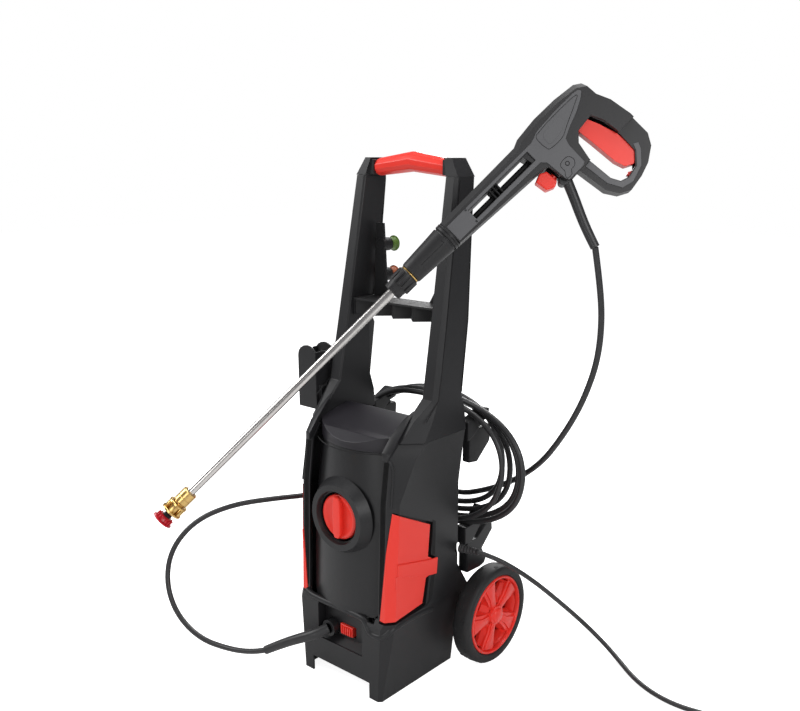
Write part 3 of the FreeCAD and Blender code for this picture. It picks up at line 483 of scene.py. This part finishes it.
# The power cord: along the floor to its neat put-away coil, out of the way.
POWER_ROUTE = [
    (0.143, 0.074, 0.216), (0.168, 0.088, 0.208), (0.190, 0.112, 0.188), (0.208, 0.145, 0.158),
    (0.220, 0.185, 0.120), (0.232, 0.228, 0.078), (0.252, 0.262, 0.038), (0.283, 0.270, 0.012),
    (0.322, 0.249, 0.005), (0.362, 0.220, 0.0042), (0.406, 0.199, 0.0045), (0.452, 0.192, 0.0042),
    (0.497, 0.200, 0.0042), (0.541, 0.214, 0.0045), (0.586, 0.219, 0.0042)]
CORD_COIL = Vector((0.640, 0.128, 0.0043))
COIL_OUTER = 0.0795
COIL_INNER = 0.0425
LAYERS = 6
LAYER_H = 0.0083
COIL_FIRST = 98.6               # where the cord joins the coil, in degrees
CORD_TURNS = 25.246
CORD_TURN_POINTS = 16
RELIEF = [(0.109, 0.0700, 0.2140), (0.120, 0.0713, 0.2146), (0.132, 0.0727, 0.2153),
          (0.1445, 0.0742, 0.2161)]
CORD_TAIL = [
    (0.7185, 0.100, 0.0400), (0.7170, 0.068, 0.0290), (0.7120, 0.036, 0.0180),
    (0.700, 0.017, 0.0135), (0.686, 0.011, 0.0132), (0.674, 0.010, 0.0132)]


def power_coil_point(turns):
    """The power cord in its coil: out and in, layer on layer."""
    per_layer = CORD_TURNS / LAYERS
    layer = min(int(turns / per_layer), LAYERS - 1)
    share = turns / per_layer - layer
    inward = layer % 2 == 0
    radius = COIL_OUTER - (COIL_OUTER - COIL_INNER) * (share if inward else 1 - share)
    height = 0.0
    for change in range(1, LAYERS):
        climb = min(max(turns - per_layer * change + 0.5, 0.0), 1.0)
        height += LAYER_H * soft_step(climb)
    angle = math.radians(COIL_FIRST) - 2 * math.pi * turns
    return CORD_COIL + Vector((radius * math.cos(angle), radius * math.sin(angle), height))


def power_cord():
    count = int(CORD_TURNS * CORD_TURN_POINTS)
    turns = [power_coil_point(CORD_TURNS * i / count) for i in range(count + 1)]
    points = [*POWER_ROUTE, *turns, *CORD_TAIL]
    return put("mains_cord", smooth_curve("mains_cord", points, CORD_D / 2, 4, 3), "cord",
               replaced=["power_cord", "cord_coil"])


# ---------------------------------------------------------------- shapes that repeat

def spun(name, profile, place, finish, body="machine", steps=48, replaced=(), smooth=35):
    """A turned piece: profile is (distance, radius) in mm along the x axis of place."""
    bm = bmesh.new()
    chain = [bm.verts.new((a * MM, r * MM, 0)) for a, r in profile]
    for first, second in zip(chain, chain[1:]):
        bm.edges.new((first, second))
    bmesh.ops.spin(bm, geom=bm.verts[:] + bm.edges[:], cent=(0, 0, 0), axis=(1, 0, 0),
                   dvec=(0, 0, 0), angle=math.radians(360), steps=steps, use_merge=True,
                   use_duplicate=False)
    bmesh.ops.remove_doubles(bm, verts=bm.verts, dist=0.00001)
    bmesh.ops.recalc_face_normals(bm, faces=bm.faces)
    bmesh.ops.transform(bm, matrix=place, verts=bm.verts)
    return put(name, finished_mesh(bm, name, smooth), finish, body, replaced)


def add_plate(bm, outline, low, high, place, ease, inset=0.0):
    """Adds a plate to bm: an outline in mm, from low to high, its rim eased and sloped."""
    verts = [bm.verts.new((x * MM, y * MM, low * MM)) for x, y in outline]
    base = bm.faces.new(verts)
    up = bmesh.ops.extrude_face_region(bm, geom=[base])["geom"]
    top = [v for v in up if isinstance(v, bmesh.types.BMVert)]
    bmesh.ops.translate(bm, vec=(0, 0, (high - low) * MM), verts=top)
    if inset:
        middle = sum((v.co for v in top), Vector()) / len(top)
        for v in top:
            inward = middle - v.co
            v.co += inward.normalized() * inset * MM
    own = verts + top
    faces = list({f for v in own for f in v.link_faces})
    bmesh.ops.recalc_face_normals(bm, faces=faces)
    edges = list({e for v in own for e in v.link_edges if e.calc_face_angle(0) > PLATE_CORNER})
    made = bevel(bm, edges, ease * MM)
    own = [v for v in own if v.is_valid] + made["verts"]
    own = list(set(own) | {w for v in own for f in v.link_faces for w in f.verts})
    bmesh.ops.transform(bm, matrix=place, verts=own)
    bmesh.ops.recalc_face_normals(bm, faces=list({f for v in own for f in v.link_faces}))


def plates(name, outlines, low, high, place, finish, body="machine", *, ease):
    """One piece of flat plates, each an outline in mm in the plane of place."""
    bm = bmesh.new()
    for outline in outlines:
        add_plate(bm, outline, low, high, place, ease)
    return even_shading(put(name, finished_mesh(bm, name), finish, body))


def lines(name, routes, width, finish, body="machine", closed=False):
    """Fine dark lines for grooves: round cords sunk half way into the surface."""
    curve = bpy.data.curves.new(name, "CURVE")
    curve.dimensions = "3D"
    curve.bevel_depth = width * MM / 2
    curve.bevel_resolution = 1
    for route in routes:
        spline = curve.splines.new("POLY")
        spline.points.add(len(route) - 1)
        for corner, point in zip(spline.points, route):
            corner.co = (*point, 1)
        spline.use_cyclic_u = closed
    return put(name, curve, finish, body)


def hull(name, points, ease, finish):
    """The smallest solid without hollows round the points in mm, its edges eased."""
    bm = bmesh.new()
    spots = [bm.verts.new(Vector(p) * MM) for p in points]
    made = bmesh.ops.convex_hull(bm, input=spots)
    spare = [g for g in made["geom_interior"] + made["geom_unused"]
             if isinstance(g, bmesh.types.BMVert)]
    bmesh.ops.delete(bm, geom=list(set(spare)), context="VERTS")
    bmesh.ops.dissolve_limit(bm, angle_limit=math.radians(6), verts=bm.verts, edges=bm.edges)
    bevel(bm, [e for e in bm.edges if e.calc_face_angle(0) > PLATE_CORNER], ease * MM)
    return put(name, finished_mesh(bm, name), finish)


def axis_frame(place, along, up=(0, 0, 1)):
    """A frame at place (metres) whose x axis is along, with z as near up as can be."""
    x = Vector(along).normalized()
    y = Vector(up).cross(x).normalized()
    return Matrix.Translation(place) @ Matrix((x, y, x.cross(y))).transposed().to_4x4()


def round_outline(points, steps):
    """A closed Catmull-Rom outline through the given corners."""
    count = len(points)
    out = []
    for i in range(count):
        p0, p1, p2, p3 = [Vector((*points[(i + k - 1) % count], 0)) for k in range(4)]
        for step in range(steps):
            t = step / steps
            q = 0.5 * (2 * p1 + (p2 - p0) * t + (2 * p0 - 5 * p1 + 4 * p2 - p3) * t * t
                       + (3 * p1 - p0 - 3 * p2 + p3) * t ** 3)
            out.append((q.x, q.y))
    return out


# ---------------------------------------------------------------- wheels

TREAD_R = 85.3
TREAD_ROWS = (128.0, 136.0, 144.0)
TREAD_MARKS = 9                 # in each row, each row turned a little from the last
TREAD_SHIFT = 13.3              # degrees
MARK_ALONG = 3.1                # half of a mark's length across the tyre, and round it
MARK_ROUND = 4.6
AXLE_HEIGHT = 86.0
AXLE_Y = 120.0
SPOKES = 5
SPOKE_START = 18                # degrees


def wheel_frame(side):
    """x outwards along the axle from the machine's middle, y up."""
    return axis_frame((0, AXLE_Y * MM, AXLE_HEIGHT * MM), (side, 0, 0), (0, -side, 0))


def polar(outline, turn):
    """An outline given as (radius, across) pairs, turned about the centre."""
    c, s = math.cos(turn), math.sin(turn)
    return [(r * c - t * s, r * s + t * c) for r, t in outline]


def tread_mark(spot):
    """A hexagon on the tyre's tread."""
    corners = [math.radians(60 * k) for k in range(6)]
    return [spot @ (Vector((MARK_ALONG * math.cos(a), MARK_ROUND * math.sin(a), TREAD_R)) * MM)
            for a in corners]


def add_window(bm, turn, flat):
    """The funnel that leads into a window between two spokes, open at its bottom."""
    outer = polar([(20, -6), (55, -22), (62, 0), (55, 22), (20, 6)], turn)
    gap = polar([(34, -6.0), (52, -13.5), (56, 0), (52, 13.5), (34, 6.0)], turn)
    loops = [[bm.verts.new((x * MM, y * MM, height * MM)) for x, y in outline]
             for outline, height in ((outer, 146.8), (gap, 137.0), (gap, 131.0))]
    rims = [[bm.edges.new((a, b)) for a, b in zip(loop, loop[1:] + loop[:1])] for loop in loops]
    for first, second in zip(rims, rims[1:]):
        bmesh.ops.bridge_loops(bm, edges=first + second)
    bmesh.ops.transform(bm, matrix=flat, verts=sum(loops, []))


def make_wheel(side, name):
    """A tyre and its hub; profiles are (out from the machine's middle, radius) in mm."""
    frame_out = wheel_frame(side)
    body = "wheel_" + name
    tread = [
        (121, 69.5), (119.2, 73), (119.3, 78), (120.6, 81.8), (123.4, 84.4), (127, 85.3),
        (136, 85.5), (145, 85.3), (149.4, 84.6), (152, 82.6), (152.9, 79), (152.9, 73),
        (151.8, 70.4), (150, 69.2)]
    spun("tyre_" + name + "_rubber", tread, frame_out, "tyre", body, 96,
         ["tyre_" + name], 50)
    flat = frame_out @ Matrix(((0, 0, 1, 0), (1, 0, 0, 0), (0, 1, 0, 0), (0, 0, 0, 1)))
    marks = []
    for row, x in enumerate(TREAD_ROWS):
        for step in range(TREAD_MARKS):
            turn = math.radians(360 / TREAD_MARKS * step + TREAD_SHIFT * row)
            spot = frame_out @ Matrix.Rotation(turn, 4, "X") @ Matrix.Translation((x * MM, 0, 0))
            marks.append(tread_mark(spot))
    lines("tread_marks_" + name, marks, 1.1, "tyre", body, closed=True)
    back = [(121.2, 2), (121.2, 60.2), (122.2, 60.2), (122.2, 2), (121.2, 2)]
    spun("hub_" + name + "_back", back, frame_out, "dark", body)
    rim = [
        (147.5, 69.4), (151.5, 68.6), (152.8, 66.8), (152.4, 65.0), (149.0, 63.6), (145.5, 63.0),
        (139.0, 62.0), (130.0, 60.0), (122.0, 60.0), (121.0, 63.0), (121.0, 69.0), (130.0, 69.0)]
    spun("hub_" + name + "_rim", rim + rim[:1], frame_out, "hub", body, 72,
         ["hub_" + name])
    bm = bmesh.new()
    spoke = [(13, -8.5), (33, -11), (62, -19), (63, 0), (62, 19), (33, 11), (13, 8.5)]
    ridge = [(14, -5), (37, -6.5), (61, -12.5), (62, 0), (61, 12.5), (37, 6.5), (14, 5)]
    apart = 360 / SPOKES
    for index in range(SPOKES):
        turn = math.radians(apart * index + SPOKE_START)
        add_plate(bm, polar(spoke, turn), 139, 148.0, flat, 0.9)
        add_plate(bm, polar(ridge, turn), 147.4, 150.6, flat, 0.8, inset=1.0)
    for index in range(SPOKES):
        add_window(bm, math.radians(apart * (index + 0.5) + SPOKE_START), flat)
    put("hub_" + name + "_spokes", finished_mesh(bm, "hub_spokes", 30), "hub", body)
    cap = [(118, 17.0), (151.4, 17.0), (152.8, 16.2), (153.6, 13.4), (156.0, 12.2), (157.2, 10.4),
           (157.6, 0.0)]
    spun("hub_" + name + "_boss", cap, frame_out, "hub", body, 40)


# ---------------------------------------------------------------- lance, couplers and nozzle

GRIP_START = 516                # the foregrip's engraved grooves, in mm along the gun
GRIP_STOP = 561
GRIP_RADIUS = 17.78             # the foregrip's radius at the start
GRIP_SLOPE = 0.0587             # and what it gains in each mm


def bars_round(name, count, outline, low, high, finish, body, ease):
    """Plates standing round the gun's axis from radius low to high; outline is (along, across)."""
    bm = bmesh.new()
    for index in range(count):
        spot = GUN_FRAME @ Matrix.Rotation(2 * math.pi * index / count, 4, "X")
        add_plate(bm, outline, low, high, spot, ease)
    return put(name, finished_mesh(bm, name), finish, body)


def foregrip_point(along, degrees):
    """A point on the foregrip's skin."""
    radius = GRIP_RADIUS + (along - GRIP_START) * GRIP_SLOPE
    angle = math.radians(degrees)
    return gun_point(along, radius * math.cos(angle), radius * math.sin(angle))


def make_lance():
    """All that is turned about the lance; profiles are (along the gun, radius) in mm."""
    g = GUN_FRAME
    spun("lance_tube_polished", [(40, 3), (40, 6.5), (560, 6.5), (560, 3)], g, "steel",
         steps=40, replaced=["lance_tube"])
    # nozzle: a flanged red cap with fine ribs, on a black quick-connect stem
    flange = [(0, 1.2), (0, 14.8), (0.5, 15.5), (1.4, 15.5), (2.0, 14.6), (2.2, 11), (3.0, 11.3),
              (7.6, 9.6), (9.0, 7.6), (9.4, 5)]
    spun("nozzle_flange", flange, g, "dark_red", "nozzle", replaced=["nozzle_cap"])
    rib = [(1.8, -0.95), (8.2, -0.75), (8.8, 0), (8.2, 0.75), (1.8, 0.95)]
    bars_round("nozzle_ribs", 14, rib, 9.0, 12.9, "dark_red", "nozzle", 0.25)
    stem = [(9.2, 6.0), (13.5, 6.0), (13.8, 5.2), (16, 5.2), (16.3, 6.0), (27, 6.0), (27, 1.2)]
    spun("nozzle_stem", stem, g, "dark", "nozzle", 32)
    # collar: two rings joined by bars, with windows that show the body inside
    collar = "coupler_collar"
    ring_front = [(18, 9.6), (18, 14.8), (18.5, 15.4), (20.6, 15.4), (21.1, 14.8), (21.1, 9.6)]
    ring_back = [(31.4, 9.6), (31.4, 14.0), (31.9, 14.5), (34.0, 14.5), (34.5, 14.0), (34.5, 9.6)]
    spun("collar_front_ring", ring_front + ring_front[:1], g, "brass", collar, 40,
         [collar])
    spun("collar_back_ring", ring_back + ring_back[:1], g, "brass", collar, 40)
    bar = [(20.6, -2.5), (32.0, -2.5), (32.0, 2.5), (20.6, 2.5)]
    bars_round("collar_bars", 6, bar, 10.0, 14.2, "brass", collar, 0.5)
    core = [(20, 6.6), (20, 8.9), (36.6, 8.9), (37.4, 10.2), (38.2, 11), (45.5, 11), (45.9, 10.6),
            (46.7, 10.6), (47.1, 11), (57.0, 11), (58, 10.2), (58, 6.6)]
    spun("coupler_core", core, g, "brass", replaced=["coupler_body"])
    # grip nut with broad lobes in two steps
    nut = [(460.6, 8.2), (460.6, 11.8), (462, 13.2), (489, 16.2), (493.5, 16.6), (495.2, 15.6),
           (495.2, 7.4)]
    spun("lance_nut_core", nut, g, "gun_dark", "lance_nut", 60, ["lance_nut"])
    lobe = [(461, -2.3), (470, -2.7), (492, -3.1), (494, -2.2), (494, 2.2), (492, 3.1),
            (470, 2.7), (461, 2.3)]
    bars_round("lance_nut_lobes", 12, lobe, 11.0, 13.9, "gun_dark", "lance_nut", 0.7)
    lobe_rear = [(474, -2.8), (492.5, -3.3), (494.4, -2.4), (494.4, 2.4), (492.5, 3.3),
                 (474, 2.8)]
    bars_round("lance_nut_lobes_rear", 12, lobe_rear, 12.0, 17.2, "gun_dark",
               "lance_nut", 0.7)
    ring = [(495.6, 9.3), (495.6, 14.9), (495.9, 15.2), (497.5, 15.2), (497.8, 14.9),
            (497.8, 9.3)]
    spun("thin_brass_ring", ring, g, "brass", replaced=["brass_ring"])
    # foregrip sleeve with the collar behind it, and two hooked grooves along it
    sleeve = [
        (498.2, 9.2), (498.2, 15.2), (498.9, 16.3), (501, 16.9), (520, 18.0), (550, 19.6),
        (565.4, 20.7), (566.2, 20.2), (566.6, 18.6), (568.4, 18.6), (568.8, 20.6), (569.6, 21.2),
        (572.2, 21.3), (572.6, 20.5), (573.2, 20.5), (573.6, 21.3), (576.0, 21.3), (576.6, 20.6),
        (576.6, 9.2)]
    spun("foregrip_moulded", sleeve, g, "gun_dark", steps=64, replaced=["foregrip_sleeve"])
    routes = []
    for start in (-78, 102):
        straight = [(along, start) for along in range(GRIP_START, GRIP_STOP + 1, 5)]
        hooked = [(GRIP_STOP - 0.5, start - 2.8), (GRIP_STOP - 1.5, start - 14)]
        routes.append([foregrip_point(*spot) for spot in straight + hooked])
    lines("foregrip_groove", routes, 1.0, "dark")


# ---------------------------------------------------------------- spray gun

GUN_INVERSE = GUN_FRAME.inverted()
GUN_HALF = 17.0                 # half the casing's thickness, in mm
GUN_SPINE = -18                 # the back of the gun lies beyond this, in mm down
PANEL_PROUD = 1.3               # how far the grey side panels stand out


def on_spine(edge):
    """The two long edges along the back of the gun, which have wide slopes."""
    spots = [GUN_INVERSE @ vert.co / MM for vert in edge.verts]
    return all(abs(p.z) > GUN_HALF - 0.5 and p.y < GUN_SPINE for p in spots)


def make_gun_casing():
    """Panels and engraving on both sides of the gun; outlines are (along, down) in mm."""
    panel = [
        (612, -9), (745.5, -9), (753, -11.5), (763, -15), (798, -17.5), (836, -17.5), (845, -16),
        (848, -12), (840, -5), (821, 5), (800, 13), (785, 20.5), (782, 30), (781, 62), (776, 65),
        (748, 65), (745.5, 59), (742.5, 26), (736, 19.5), (612, 18), (612, 12.6), (733.6, 12.6),
        (733.6, -4.6), (612, -4.6)]
    neck = [(578.5, -9), (616.6, -9), (616.6, 18), (578.5, 17.6)]
    loop = [
        (788.5, 67), (792, 103), (799, 118), (812, 122), (831, 118), (846, 101), (849, 92),
        (856, 96), (852, 105), (836, 122), (812, 130), (795, 126), (784, 106), (779, 67)]
    leaf = [(756, -9), (768, -12.5), (790, -14), (822, -14), (839, -12), (830, -6), (800, 8),
            (783, 16), (763, 16), (756.5, 12)]
    label = [(767, -6), (795, -8), (800, -6), (801, 2), (796, 5), (783, 10), (765, 10.5), (763, 5)]
    boss = [(748, 62), (748, 57), (752, 52), (752, 44), (757, 40), (768, 40), (772, 45), (772, 51),
            (767, 56), (760, 57), (756, 62)]
    for side, tag in ((-1, "near"), (1, "far")):
        facing = GUN_FRAME @ Matrix.Scale(side, 4, (0, 0, 1))
        plates("gun_side_panel_" + tag, [panel, neck], GUN_HALF - 0.4, GUN_HALF + PANEL_PROUD,
               facing, "gun", ease=0.7)
        plates("gun_guard_panel_" + tag, [loop], 10.6, 12.2, facing, "gun", ease=0.6)
        plates("gun_label_" + tag, [round_outline(label, 3)], GUN_HALF + 1.0, GUN_HALF + 1.7,
               facing, "gun", ease=0.3)
        routes = [[facing @ (Vector((a, b, GUN_HALF + PANEL_PROUD)) * MM)
                   for a, b in round_outline(shape, 4)] for shape in (leaf, boss)]
        lines("gun_engraving_" + tag, routes, 0.8, "dark", closed=True)
        screw = [(18.0, 3.6), (18.7, 3.2), (18.8, 2.6), (18.3, 2.2), (15, 2.1), (15, 0)]
        spot = axis_frame(facing @ (Vector((762, 47, 0)) * MM), GUN_SIDE * side, GUN_DOWN)
        spun("gun_screw_" + tag, screw, spot, "dark", steps=24)
    ribs = [[(a, -4.2), (a + 2.4, -4.2), (a + 2.4, 12.2), (a, 12.2)] for a in (657, 663.5, 670)]
    plates("gun_slot_comb", ribs, -14, 14, GUN_FRAME, "dark", ease=0.5)
    plates("gun_slot_end", [[(724, -4.2), (733.4, -4.2), (733.4, 12.2), (728, 12.2)]], -15.5, 15.5,
           GUN_FRAME, "gun_dark", ease=0.6)
    lug = [(741, 54), (750, 50), (753, 66), (741, 66), (737, 60)]
    plates("gun_lug", [round_outline(lug, 3)], -9, 9, GUN_FRAME, "gun_dark", ease=0.9)


# ---------------------------------------------------------------- details of the machine's body

PANEL_FACE = 0.104              # the side panel's face, in metres out at PANEL_LEVEL
PANEL_LEVEL = 0.140
PANEL_LEAN = 0.01546            # how far it leans out in each metre up

POST_FOOT, POST_HEAD = 484, 816  # the free part of a handle post, in mm up
POST_REAR = 66                  # its rear face at the foot, in mm back
POST_LEAN = 0.155               # how far it leans back in each mm up
POST_INNER = 90.5               # its inner half lies within this, in mm across
POST_CUT = 22


def level_band(bm):
    """Brings the side panel's raised band down to the panel's own face."""
    for vert in bm.verts:
        skin = PANEL_FACE + PANEL_LEAN * (vert.co.z - PANEL_LEVEL)
        if abs(vert.co.x) > skin + 0.0016:
            vert.co.x = math.copysign(skin + 0.001, vert.co.x)
    bmesh.ops.dissolve_degenerate(bm, dist=SAME_PLACE, edges=bm.edges)


def shallow_inner_face(bm):
    """Slopes the rear of a handle post forward towards its inner face."""
    for vert in bm.verts:
        x, y, z = abs(vert.co.x) / MM, vert.co.y / MM, vert.co.z / MM
        rear = POST_REAR + (z - POST_FOOT) * POST_LEAN
        if x < POST_INNER and POST_FOOT < z < POST_HEAD and y > rear - 4:
            vert.co.y -= POST_CUT * MM


def body_points(points, side=1):
    """Points in mm as metres, mirrored for the left side, whose sign is -1."""
    return [Vector((side * x, y, z)) * MM for x, y, z in points]


def post_grooves(side, tag):
    groove = [(121.2, -33, 458), (118.2, -1, 484), (114.7, 22, 600), (106.2, 60, 812)]
    rear = [(118.2, 56, 488), (114.7, 74, 600), (106.2, 93, 812)]
    routes = [body_points(groove, side), body_points(rear, side)]
    lines("post_grooves_" + tag, routes, 1.7, "dark")


def hose_hooks(side, tag):
    """The plates at the side of both hooks; outlines are (back, up) in mm."""
    arm = [(86, 412), (140, 417), (144, 412), (142, 386), (108, 357), (86, 360)]
    shoe = [(96, 214), (122, 214), (158, 238), (165, 234), (167, 217), (138, 190), (150, 168),
            (146, 160), (134, 157), (96, 158)]
    outward = Matrix(((0, 0, side, 0), (1, 0, 0, 0), (0, 1, 0, 0), (0, 0, 0, 1)))
    plates("hook_arm_" + tag, [arm], 98, 113, outward, "black", ease=1.8)
    plates("hook_shoe_" + tag, [shoe], 86, 105, outward, "black", ease=1.8)


def shoulder_flap(side, tag):
    """The pointed flap that runs from the post down beside the hood."""
    flap = [(87, -24, 468), (83, -44, 457), (79.5, -69, 436), (79, -88.5, 413), (80, -88.5, 402),
            (90, -87, 400), (93, -84, 412), (95, -70, 430), (93, -40, 457), (91, -24, 468),
            (88, -60, 405), (90, -50, 430), (90, -30, 455)]
    hull("shoulder_flap_" + tag, [(side * x, y, z) for x, y, z in flap], 1.3, "black")


def fold_shadow(side, tag):
    """Painted shade: a dark skin laid where the housing folds back beside the front panel, dark
    only from the depth of the fold.
    """
    fold = [(80.5, -98, 150), (82, -98, 150), (90, -94.6, 248), (90, -92, 334), (89, -83, 398),
            (80.5, -83, 398), (80.5, -92, 334), (80.5, -94.6, 248)]
    bm = bmesh.new()
    bm.faces.new([bm.verts.new((side * x * MM, (y - 0.35) * MM, z * MM)) for x, y, z in fold])
    bmesh.ops.solidify(bm, geom=bm.faces[:], thickness=0.3 * MM)
    bmesh.ops.recalc_face_normals(bm, faces=bm.faces)
    put("fold_shadow_" + tag, finished_mesh(bm, "fold"), "dark")


def shoulder_lip(side, tag):
    edge = [(81, -84.0, 407), (88, -84.2, 404), (93.5, -81.5, 398), (96, -80, 386),
            (97, -83.6, 360), (98, -87.0, 336), (98.6, -87.4, 330)]
    put("shoulder_lip_" + tag, smooth_curve("shoulder_lip", body_points(edge, side), 1.9 * MM),
        "black")


def make_body_details():
    for side, tag in ((1, "right"), (-1, "left")):
        flank = Matrix(((0, side * 0.0155, side, side * 0.10183), (1, 0, 0, 0), (0, 1, 0, 0),
                        (0, 0, 0, 1)))
        band = [(-84, 237.5), (-8, 220.5), (13, 217.5), (11, 189.5), (-8, 192.7), (-84, 217.5)]
        recess_shade = [[(1.2, 223), (1.2, 286), (9, 281), (9, 223)],
                [(-5, 146), (4, 152), (9, 188), (0, 188)],
                [(-88, 128), (-88, 133), (-20, 139), (-4, 146), (4, 150), (-12, 134)]]
        post_grooves(side, tag)
        hose_hooks(side, tag)
        shoulder_flap(side, tag)
        plates("side_band_" + tag, [band], 0.2, 3.4, flank, "red", ease=1.0)
        fold_shadow(side, tag)
        shoulder_lip(side, tag)
        # Painted shade: dark patches nearly flush with the flank stand for the shade in the
        # recesses around the red side panel.
        plates("side_recess_" + tag, recess_shade, -1.0, 0.35, flank, "dark", ease=0.1)
    lip = [(-84, -99, 139), (-74, -100, 136), (-60, -100.5, 135), (-30, -100.5, 134.5),
           (0, -100.5, 134.5), (40, -100.5, 134.5), (52, -101, 133), (59, -102.5, 126),
           (64, -103, 118), (72, -103, 114), (86, -102.8, 114.5), (95, -99, 119),
           (100.5, -92, 127), (101.8, -80, 130.5), (101.9, -50, 132), (101.9, -15, 130.5),
           (101.9, 4, 127.5)]
    put("base_lip", smooth_curve("base_lip", body_points(lip), 5.6 * MM), "black")
    arc = [(x, -100.3 + 28.0 * (x / 77.0) ** 2, 405.8) for x in range(-75, 76, 10)]
    lines("hood_seam", [body_points(arc)], 1.8, "dark")


KNOB_HEIGHT = 294 * MM
KNOB_FACE = -84 * MM


def make_knob():
    face_on = Matrix(((1, 0, 0, 0), (0, 0, -1, KNOB_FACE), (0, 1, 0, KNOB_HEIGHT), (0, 0, 0, 1)))
    shaft = axis_frame((0, KNOB_FACE, KNOB_HEIGHT), (0, -1, 0))
    disc = [(0, 3), (0, 36.4), (1.5, 37.0), (16, 37.0), (18.6, 36.2), (20, 34.2), (20.2, 31.5),
            (18.6, 28.5), (17.2, 20), (17.0, 0)]
    spun("knob_disc", disc, shaft, "red", "knob", 72, ["knob"])
    bar = [(-5.2, -35), (5.2, -35), (8.2, -26), (9.0, 0), (8.2, 26), (5.2, 35), (-5.2, 35),
           (-8.2, 26), (-9.0, 0), (-8.2, -26)]
    plates("knob_bar", [bar], 15.5, 26.2, face_on, "red", "knob", ease=3.2)


def make_details():
    make_knob()
    make_wheel(1, "right")
    make_wheel(-1, "left")
    make_lance()
    make_gun_casing()
    make_body_details()


make_camera()
make_studio()
hose_line, gun_sleeve_route = hose()
mains = power_cord()
gun_sleeve = tapered("gun_hose_sleeve", gun_sleeve_route, (7.6 * MM, 6.9 * MM), "rubber",
                     replaced=["hose_sleeves"])
outlet_sleeve = tapered("outlet_hose_sleeve", SLEEVE_OUTLET, (7.4 * MM, 9.2 * MM), "rubber")
relief = tapered("cord_relief", RELIEF, (7.4 * MM, 5.4 * MM), "cord", rings=13,
                 replaced=["cord_gland"])
make_details()

# ---------------------------------------------------------------- floor
# It is nearly white to the camera, but the light that it sends onto the object is weak.

floor_bm = bmesh.new()
bmesh.ops.create_grid(floor_bm, x_segments=1, y_segments=1, size=9.0)
floor = bpy.data.objects.new("floor", finished_mesh(floor_bm, "floor"))
bpy.context.scene.collection.objects.link(floor)
floor_finish = Finish("floor_paper", Roughness=0.85)
floor_finish.feed("Base Color", floor_finish.blend(floor_finish.noise(3, 2), (0.66, 0.66, 0.66),
                                                   (0.69, 0.69, 0.69)))
floor_finish.shader.inputs["Emission Strength"].default_value = 1.0
floor_finish.feed("Emission Color", floor_finish.blend(
    floor_finish.add("ShaderNodeLightPath", {}), (0.1, 0.1, 0.1), (0.9, 0.9, 0.9)))
floor.data.materials.append(floor_finish.material)

# ---------------------------------------------------------------- CAD mouldings

# How far each node's edges are rounded, in mm, its finish and its slot.  The crossbar
# takes the tyre's duller finish.
EASED = {
    "main_housing": (1.6, "black", "black"), "front_panel": (0.8, "panel", "panel"),
    "hood": (1.6, "hood", "panel"), "rear_cover": (1.0, "black", "black"),
    "handle_top": (1.6, "black", "black"), "grip": (1.5, "red", "red"),
    "crossbar": (0.7, "tyre", "black"), "knob_bezel": (1.2, "black", "black"),
    "outlet_latch": (0.6, "red", "red"), "outlet_socket": (0.6, "black", "black"),
    "holster": (0.9, "black", "black"), "upper_hooks": (1.5, "black", "black"),
    "lower_hooks": (1.5, "black", "black"), "gun_trigger": (1.2, "red", "red"),
    "safety_catch": (0.5, "red", "red"), "hose_release_button": (0.6, "red", "red"),
    "plug": (0.8, "cord", "rubber"), "cord_tie": (0.5, "cord", "rubber"),
    "water_inlet": (0.5, "brass", "brass"), "spare_nozzle_green": (0.5, "green", "green"),
    "spare_nozzle_orange": (0.5, "orange", "orange"),
}
moulded = {node: eased(node, width * MM, finish)
           for node, (width, finish, slot) in EASED.items()}
for node in ("post_right", "post_left"):
    eased(node, 1.6 * MM, "black", trim=shallow_inner_face)
for node in ("side_panel_right", "side_panel_left"):
    eased(node, 0.9 * MM, "red", trim=level_band)
for node in ("gun_shell_right", "gun_shell_left"):
    eased(node, 1.2 * MM, "gun_dark", broad=on_spine, slope=7.5 * MM)

# Nodes that keep their CAD shape and only get a finish.
PLAIN = {
    "zinc": ["axle", "motor_stator", "motor_rotor", "wobble_plate", "pistons", "housing_screws",
             "gun_pins"],
    "brass": ["unloader_valve"],
    "aluminium": ["pump_body", "pump_head"],
    "dark": ["switch_box", "cooling_fan", "gun_valve"],
    "white": ["capacitor"],
}
for finish, names in PLAIN.items():
    for node in names:
        NODES[node].data.materials.clear()
        NODES[node].data.materials.append(FINISH[finish])
